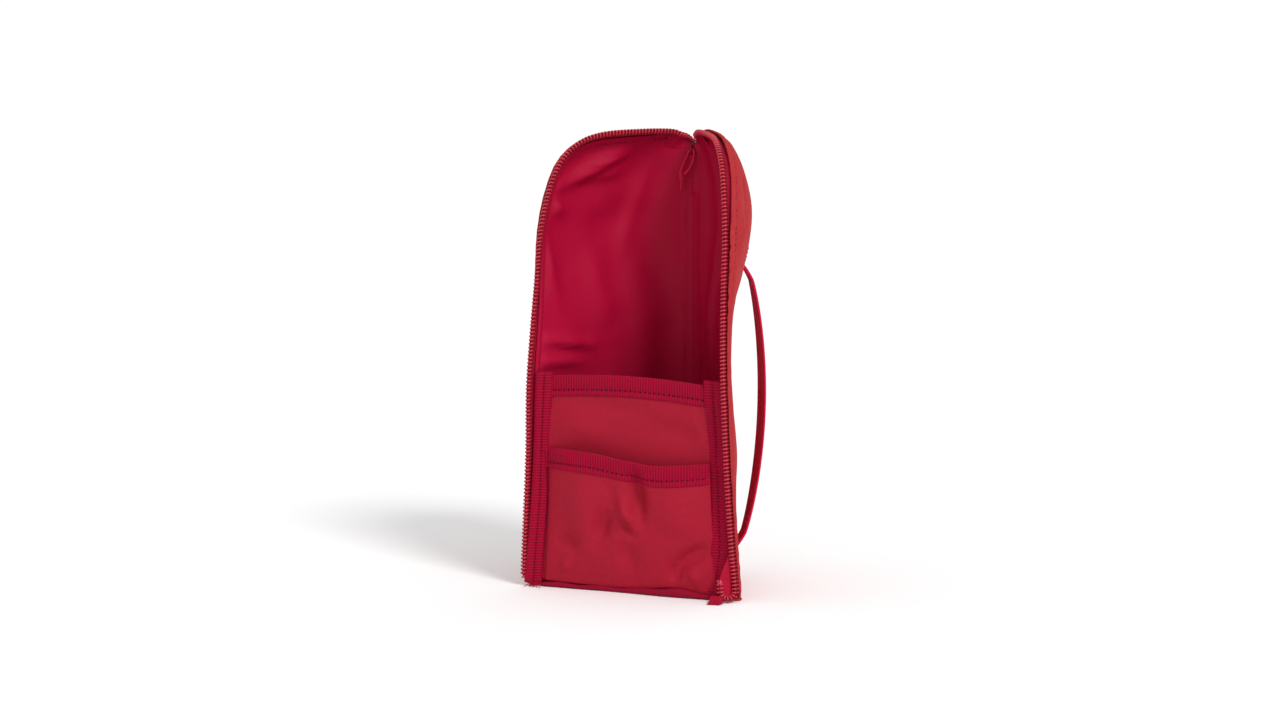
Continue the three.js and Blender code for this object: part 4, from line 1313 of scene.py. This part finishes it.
def bend(made, side, word, reach=END_X):
    """Bakes the piece's placement into its mesh."""
    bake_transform(made)


def binding_stitches(name, line, side, word):
    """Coarse stitches along the front of a binding. The stitches are real, and their darker thread is painted
    shade of the stitch pits.
    """
    row = stitches(name, line, (0.0, -1.0, 0.0), pit_shade_thread, "ribbed_binding", **BINDING_STITCH)
    bend(row, side, word)


def build_pocket():
    for name, rows, cols, inset, edge_at, depth_at, node in (
            ("upper_pocket", 70, 121, 0.0, upper_edge, back_panel_front, "pocket_back_panel"),
            ("lower_pocket", 90, 161, BESIDE, lower_edge, front_panel_front, "pocket_front_panel")):
        x, across, z = pocket_grid(rows, cols, inset, edge_at)
        depth = depth_at(x, across, z)
        if name == "lower_pocket":
            height, scale, seed = POCKET_NOISE
            crumple = fine_noise(grid_of(x, 0, z), scale, seed)
            depth = depth + height * crumple * np.cos(np.pi / 2 * across)
        front = grid_of(x, POCKET_Y - POCKET_THICKNESS - depth, z)
        in_two(name, front, grid_of(x, POCKET_Y - depth, z), pocket_cloth, node)
    build_edge_binding("upper_binding", upper_edge, back_panel_front, "pocket_upper_binding")
    build_edge_binding("lower_binding", lower_edge, front_panel_front, "pocket_lower_binding")
    for side, word in SIDES:
        build_side_binding(side, word)


# Rows of an edge binding's section, up the front, over the edge and down the back:
# (drop below the edge and height of the tape as shares, 1 for the front or -1 for the back)
EDGE_BINDING_ROWS = [
    (1.0, 0.55, 1), (0.97, 0.95, 1), (0.9, 1.0, 1), (0.8, 0.85, 1), (0.74, 0.4, 1), (0.7, 0.05, 1),
    (0.66, 0.4, 1), (0.58, 0.95, 1), (0.45, 1.15, 1), (0.3, 1.2, 1), (0.15, 1.15, 1), (0.06, 1.0, 1),
    (0.0, 1.0, 0.75), (-0.03, 1.0, 0), (0.0, 1.0, -0.75), (0.06, 0.9, -1), (0.3, 0.8, -1), (0.75, 0.7, -1),
]
EDGE_SEAM_SHARE = 0.7
# Rows of a side binding's section from the inner side out: (share of the width, height of the tape there)
SIDE_BINDING_ROWS = [
    (0.0, 0.5), (0.04, 1.0), (0.12, 1.1), (0.22, 1.15), (0.34, 1.1), (0.42, 0.9), (0.46, 0.4), (0.49, 0.2),
    (0.52, 0.4), (0.57, 0.75), (0.68, 0.85), (0.8, 0.8), (0.92, 0.6), (1.0, 0.4),
]


def build_edge_binding(name, edge_at, depth_at, node):
    """A ribbed tape folded over the upper edge of a panel, sewn on above its lower lip."""
    half = pocket_half_width(float(edge_at(0.0))) - BESIDE
    left = -half - LEFT_BINDING_SHIFT
    x = np.linspace(left, half, 841)
    across = x / (half + BESIDE)
    top = edge_at(across)
    drops, puff, facing = np.array(EDGE_BINDING_ROWS).T[..., None]
    drops = drops * BINDING_HEIGHT
    z = top - drops
    depth = depth_at(x + 0 * z, across + 0 * z, np.minimum(z, top))
    centre = POCKET_Y - POCKET_THICKNESS / 2 - depth
    wobble = 0.00005 * np.sin(x / 0.0041)
    ribs = RIB_DEPTH * np.sin(2 * np.pi * x / RIB_PITCH) * np.clip(puff - 0.1, 0, 1)
    outer_gap = POCKET_THICKNESS / 2 + 0.0001 + BINDING_THICKNESS * puff + ribs + wobble
    inner_gap = POCKET_THICKNESS / 2 + 0.00004
    front = grid_of(x, centre - facing * outer_gap, z)
    back = grid_of(x, centre - facing * inner_gap, np.minimum(z, top - 0.0001))
    over = np.concatenate([[[0]], np.cumsum(np.abs(np.diff(drops, axis=0)) + 0.0002, 0)])
    in_two(name, front, back, binding_cloth, node, grid_of(x, over))
    x = np.linspace(left + 0.001, half - 0.001, 240)
    across = x / (half + BESIDE)
    z = edge_at(across) - EDGE_SEAM_SHARE * BINDING_HEIGHT
    y = POCKET_Y - POCKET_THICKNESS - depth_at(x, across, z) - 0.0001 - BINDING_THICKNESS * 0.25
    line = grid_of(x, y, z)
    for side, word in SIDES:
        binding_stitches(f"{word}_{name}_stitches", line[:120] if side < 0 else line[120:], side, word)


def build_side_binding(side, word):
    """A ribbed tape folded over the side of the pocket: a flat outer run and a raised inner one."""
    z = np.linspace(POCKET_BOTTOM - 0.0002, POCKET_HEIGHT + SIDE_BINDING_RISE, 460)[:, None]
    edge = pocket_half_width(z) + POCKET_SIDE_GAP - 0.0002
    u, puff = np.array(SIDE_BINDING_ROWS).T
    x = edge - SIDE_BINDING_WIDTH + SIDE_BINDING_WIDTH * u + 0.0003 * np.sin(z / 0.009) * (1 - u)
    if side < 0:
        # The left one leans forward to the zip tape
        outer = np.interp(z, PROBE_HEIGHTS, FRONT_WIDTHS) + POCKET_SIDE_GAP - 0.0006
        x = x + LEFT_BINDING_SHIFT * (1 - u) + (outer - edge) * u
        forward = LEFT_BINDING_FORWARD * u
    else:
        # The lower end of the right one veers inwards
        x = x - 0.0045 * smooth((0.030 - z) / 0.030) * (1 - 0.35 * u)
        forward = 0 * u
    lean = 0.0005 * np.sin(z / 0.013)
    ribs = RIB_DEPTH * np.sin(2 * np.pi * z / RIB_PITCH) * np.clip((0.46 - u) / 0.04, 0.35, 1)
    tip = np.sqrt(np.clip((z[-1] - z) / 0.0008, 0.05, 1))
    height = (SIDE_BINDING_THICKNESS * puff + ribs) * tip
    front = grid_of(side * x, POCKET_Y - POCKET_THICKNESS - 0.0004 - height - lean - forward, z)
    back = grid_of(side * x, POCKET_Y - POCKET_THICKNESS - 0.0002 - lean - forward * 0.9, z)
    places = grid_of(z, u * SIDE_BINDING_WIDTH)
    made = sheet(f"{word}_side_binding", front, back, binding_cloth, places)
    bend(made, side, word)
    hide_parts(f"{word}_pocket_side_binding")
    binding_stitches(f"{word}_side_binding_stitches", front[6:-8, 7] + (0, 0.0001, 0), side, word)


# Base and spine
def base_half_width(offset, front_y, rows):
    """Half the width of the base at rows of y, from the front edge to the rear."""
    s = np.linspace(SPINE_START, RIM_DEPTH - 0.0065, 60)
    edge = skin_point(1, s, WALL_BOTTOM, offset)
    order = np.argsort(edge[:, 1])
    rear = edge[:, 1].max()
    y = front_y + (rear - front_y) * np.linspace(0, 1, rows)
    x = np.interp(y, edge[order, 1], edge[order, 0])
    corner = np.clip((y - front_y) / (BASE_CORNER / 2), 0, 1)
    return y, x - BASE_CORNER * (1 - np.sqrt(1 - (1 - corner) ** 2)) * 0.8


def bend_at_wall(made):
    """Bakes the placement of a part of the base into its mesh."""
    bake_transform(made)


def build_base():
    for name, offset, front_y, low, thick, material, slot, node in (
            ("base_sheet", SHELL_OFFSET - 0.0002, FRONT_EDGE_Y + BASE_FRONT_SETBACK, 0.0, BASE_THICKNESS,
             outer_cloth, "outer_fabric", "base_panel"),
            ("base_lining_sheet", -0.0006, POCKET_Y + 0.0003, WALL_BOTTOM, BASE_LINING_THICKNESS,
             lining_cloth, "lining_fabric", "base_lining")):
        y, half_width = base_half_width(offset, front_y, 60)
        y = y[:, None]
        for side, word in SIDES:
            x = side * half_width[:, None] * np.linspace(0, 1, 40)
            dents = 0.0001 * np.sin(x / 0.006) * np.sin(y / 0.008)
            top = grid_of(x, y, low + thick + dents)
            bottom = grid_of(x, y, low)
            made = sheet(f"{word}_{name}", top, bottom, material, cut="start")
            bend_at_wall(made)
            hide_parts(node)
    build_front_fold()


def build_front_fold():
    """The base's front hem: a soft roll of cloth under the lower edge of the pocket, in lining cloth darkened
    as painted shade.
    """
    x = np.linspace(*FOLD_ENDS, FOLD_COLS)
    lens = np.exp(-((x / 0.050 - 0.45) / 0.28) ** 2)
    turn = np.linspace(0, 2 * np.pi, FOLD_SIDES + 1)[:-1]
    height = 0.0011 + 0.0009 * lens + 0.00015 * np.sin(x / 0.0033)
    depth = 0.0010 + 0.0006 * lens + 0.0002 * np.sin(x / 0.0051)
    middle = grid_of(x, POCKET_Y - 0.0022 - 0.0010 * lens - 0.0003 * np.sin(x / 0.012), height + 0.0002)
    ring = grid_of(0.0, np.cos(turn) * depth[:, None], np.sin(turn) * height[:, None])
    points = middle[:, None] + ring
    half = FOLD_COLS // 2
    for side, word in SIDES:
        part = points[:half + 1] if side < 0 else points[half:]
        n = len(part)
        places = grid_of(x[:n, None], turn * 0.0012).reshape(-1, 2)
        quads = quads_of(n, FOLD_SIDES, closed=True)
        roll = make_mesh(f"{word}_base_front_fold", part.reshape(-1, 3), quads, places, painted_shade_hem_cloth,
                         end_caps(n, FOLD_SIDES))
        bend(roll, side, word)


def shell_back(side, places, z):
    """How far back the outer shell reaches, at places across and at heights z."""
    levels = np.linspace(z[0], z[-1], 50)
    s, level = np.meshgrid(np.linspace(SPINE_START, 0.03, 24), levels)
    points = skin_point(side, s, level, SHELL_OFFSET + 0.0004)
    rows = [np.interp(places, np.abs(row[:, 0]), row[:, 1]) for row in points]
    return np.stack([np.interp(z, levels, column) for column in np.array(rows).T], -1)


def build_spine():
    low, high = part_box("spine_tape")
    coil_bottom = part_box("spine_coil_left")[0].z
    z = np.linspace(low.z, high.z, SPINE_TAPE_ROWS)
    level = z[:, None]
    u = np.linspace(0, 1, 11)
    inner = SPINE_TAPE_SLIT * smooth((level - coil_bottom + 0.0003) / 0.0006)
    ribs = RIB_DEPTH * np.sin(2 * np.pi * level / RIB_PITCH)
    groove = SPINE_GROOVE * np.exp(-((u - 0.8) / 0.05) ** 2)
    for side, word in SIDES:
        x = side * (inner + (SPINE_TAPE_HALF - inner) * u)
        under = np.maximum(low.y - 0.0012 * u ** 2, shell_back(side, SPINE_TAPE_HALF * u, z) + 0.0001)
        outer = grid_of(x, under + high.y - low.y + ribs - groove, level)
        made = sheet(f"{word}_spine_tape", outer, grid_of(x, under, level), binding_cloth,
                     grid_of(level, np.abs(x)), cut="start")
        bend(made, side, word, SPINE_TAPE_HALF)
        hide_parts("spine_tape")
        row = stitches(f"{word}_spine_stitches", outer[4:-4, 8] + (0, 0.0001, 0), (0, 1.0, 0), thread,
                       "ribbed_binding")
        bend(row, side, word, SPINE_TAPE_HALF)
        build_spine_lining(side, word, coil_bottom)


def build_spine_lining(side, word, slit_bottom):
    """Inside, a strip of lining joins the halves in front of the spine, slit where the slider runs."""
    z = np.linspace(WALL_BOTTOM + 0.0008, SPINE_TOP - 0.0012, SPINE_LINING_ROWS)[:, None]
    edge_x, edge_y = np.moveaxis(skin_point(side, SPINE_START, z, 0.0001), -1, 0)[:2]
    v = np.linspace(0, 1, 9)
    slit = smooth((z - slit_bottom + 0.003) / 0.002)
    inner_x = side * SPINE_LINING_SLIT * slit
    middle_y = edge_y + SPINE_LINING_SETBACK - SPINE_LINING_SETBACK * slit
    face = grid_of(inner_x + (edge_x - inner_x) * v, middle_y + (edge_y - middle_y) * v ** 2, z)
    strip = sheet(f"{word}_spine_lining", face, face + (0.0, 0.0004, 0.0), lining_cloth,
                  cut="start")
    bend(strip, side, word, SPINE_LINING_REACH)


def finish_cad_pieces():
    """Small zip pieces whose solids have the right shape: a softened edge and a finish."""
    for name in ("zip_slider_body", "zip_slider_bail", "zip_bottom_stop"):
        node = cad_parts[name]
        node.data.materials.clear()
        node.data.materials.append(red_metal)
        soft = node.modifiers.new("soft_edges", "BEVEL")
        soft.width = SOFT_EDGE
        soft.segments = 2
        soft.limit_method = "ANGLE"


# Hand strap
def build_strap():
    upper_rest = STRAP_REST - ANCHOR_DENT
    low = skin_point(1, STRAP_DEPTH, STRAP_BOTTOM + ANCHOR_LENGTH + STRAP_GAP, STRAP_REST)
    high = skin_point(1, STRAP_TOP_DEPTH, STRAP_TOP - ANCHOR_LENGTH - STRAP_GAP, upper_rest)
    out = unit(skin_normal(1, STRAP_DEPTH, 0.083) * (1, 1, 0))
    aside = np.array([-out[1], out[0], 0.0])
    u = np.linspace(-0.5, 0.5, 15)
    sewn = STRAP_SEWN_ROWS
    share = np.linspace(0, 1, STRAP_FREE_ROWS)
    bow = STRAP_LIFT * np.minimum(np.sin(np.pi * share) * 6, 1) \
        + STRAP_BOW * np.sin(np.pi * share) ** STRAP_BOW_POWER
    middle = low + (high - low) * share[:, None] + out * bow[:, None]
    lower_z = np.linspace(STRAP_BOTTOM, low[2], sewn + 1)[:-1]
    upper_z = np.linspace(high[2], STRAP_TOP, sewn + 1)[1:]
    line = np.concatenate([skin_point(1, STRAP_DEPTH, lower_z, STRAP_REST), middle,
                           skin_point(1, STRAP_TOP_DEPTH, upper_z, upper_rest)])
    ahead = unit(np.gradient(line, axis=0))
    length = running_length(line)
    free = np.clip((length - length[sewn]) / (length[-sewn] - length[sewn]), 0, 1)
    twist = STRAP_TWIST * np.sin(np.pi * free) ** 0.6
    wide = aside[None] * np.cos(twist)[:, None] - out[None] * np.sin(twist)[:, None]
    wide = unit(wide - (wide * ahead).sum(1, keepdims=True) * ahead)
    normal = np.cross(wide, ahead)
    normal = normal * np.sign((normal * out).sum(1, keepdims=True))
    ribs = STRAP_RIB_DEPTH * np.sin(2 * np.pi * (u[None, :] * STRAP_WIDTH) / STRAP_RIB_PITCH)
    edge = 1 - 0.35 * (np.abs(u) * 2)[None, :] ** 6
    cup = 0.0003 * (4 * u ** 2)[None, :]
    wall = line[:, None] + wide[:, None] * (u * STRAP_WIDTH)[None, :, None] - normal[:, None] * cup[..., None]
    front = wall + normal[:, None] * (STRAP_THICKNESS * edge + ribs)[..., None]
    half = len(line) // 2
    places = grid_of(u * STRAP_WIDTH, length[:, None])
    for word, part, start, end, node in (
            ("lower", slice(0, half + 1), low[2] - 0.002, low[2] + ANCHOR_BLEND, "strap_anchor_lower"),
            ("upper", slice(half, len(line)), high[2] + 0.002, high[2] - ANCHOR_BLEND, "strap_anchor_upper")):
        made = sheet(f"{word}_hand_strap", front[part], wall[part], strap_cloth, places[part])
        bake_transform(made)
        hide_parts("carry_strap", node)
    for word, bottom, depth, rest in (
            ("lower", STRAP_BOTTOM, STRAP_DEPTH, STRAP_REST),
            ("upper", STRAP_TOP - ANCHOR_LENGTH + 0.001, STRAP_TOP_DEPTH, upper_rest)):
        sew_strap_end(word, bottom, depth, rest, aside, out)


def sew_strap_end(word, bottom, depth, rest, aside, out):
    """A sewn box with a cross, over one end of the strap."""
    half, low, high = STRAP_STITCH_HALF, bottom + 0.001, bottom + ANCHOR_LENGTH - 0.002
    box = [(-half, low), (half, low), (half, high), (-half, high), (-half, low), (half, high)]
    rows = []
    for k, run in enumerate((box, [(-half, high), (half, low)])):
        points = []
        for (a0, b0), (a1, b1) in zip(run, run[1:]):
            for t in np.linspace(0, 1, 12):
                spot = skin_point(1, depth, b0 + (b1 - b0) * t, rest)
                spot = spot + aside * (a0 + (a1 - a0) * t) * STRAP_WIDTH
                points.append(spot + out * (STRAP_THICKNESS + 0.0001))
        rows.append(stitches(f"{word}_strap_stitches_{k}", points, out, thread, "webbing", **STRAP_STITCH))
    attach(joined(f"{word}_strap_stitches", rows), "right_half")


build_camera()
build_stage()
soft_sun(azimuth=56, elevation=40, spread=16, strength=1.6)
area_light("fill", azimuth=15, elevation=25, distance=1.8, size=1.2, energy=2.5)
build_cord()
for side, word in SIDES:
    build_lining(side, word)
    build_shell(side, word)
    build_zip(side, word)
build_frayed_ends()
build_pocket()
build_base()
build_spine()
build_strap()
finish_cad_pieces()

bpy.context.scene.view_settings.view_transform = "Standard"
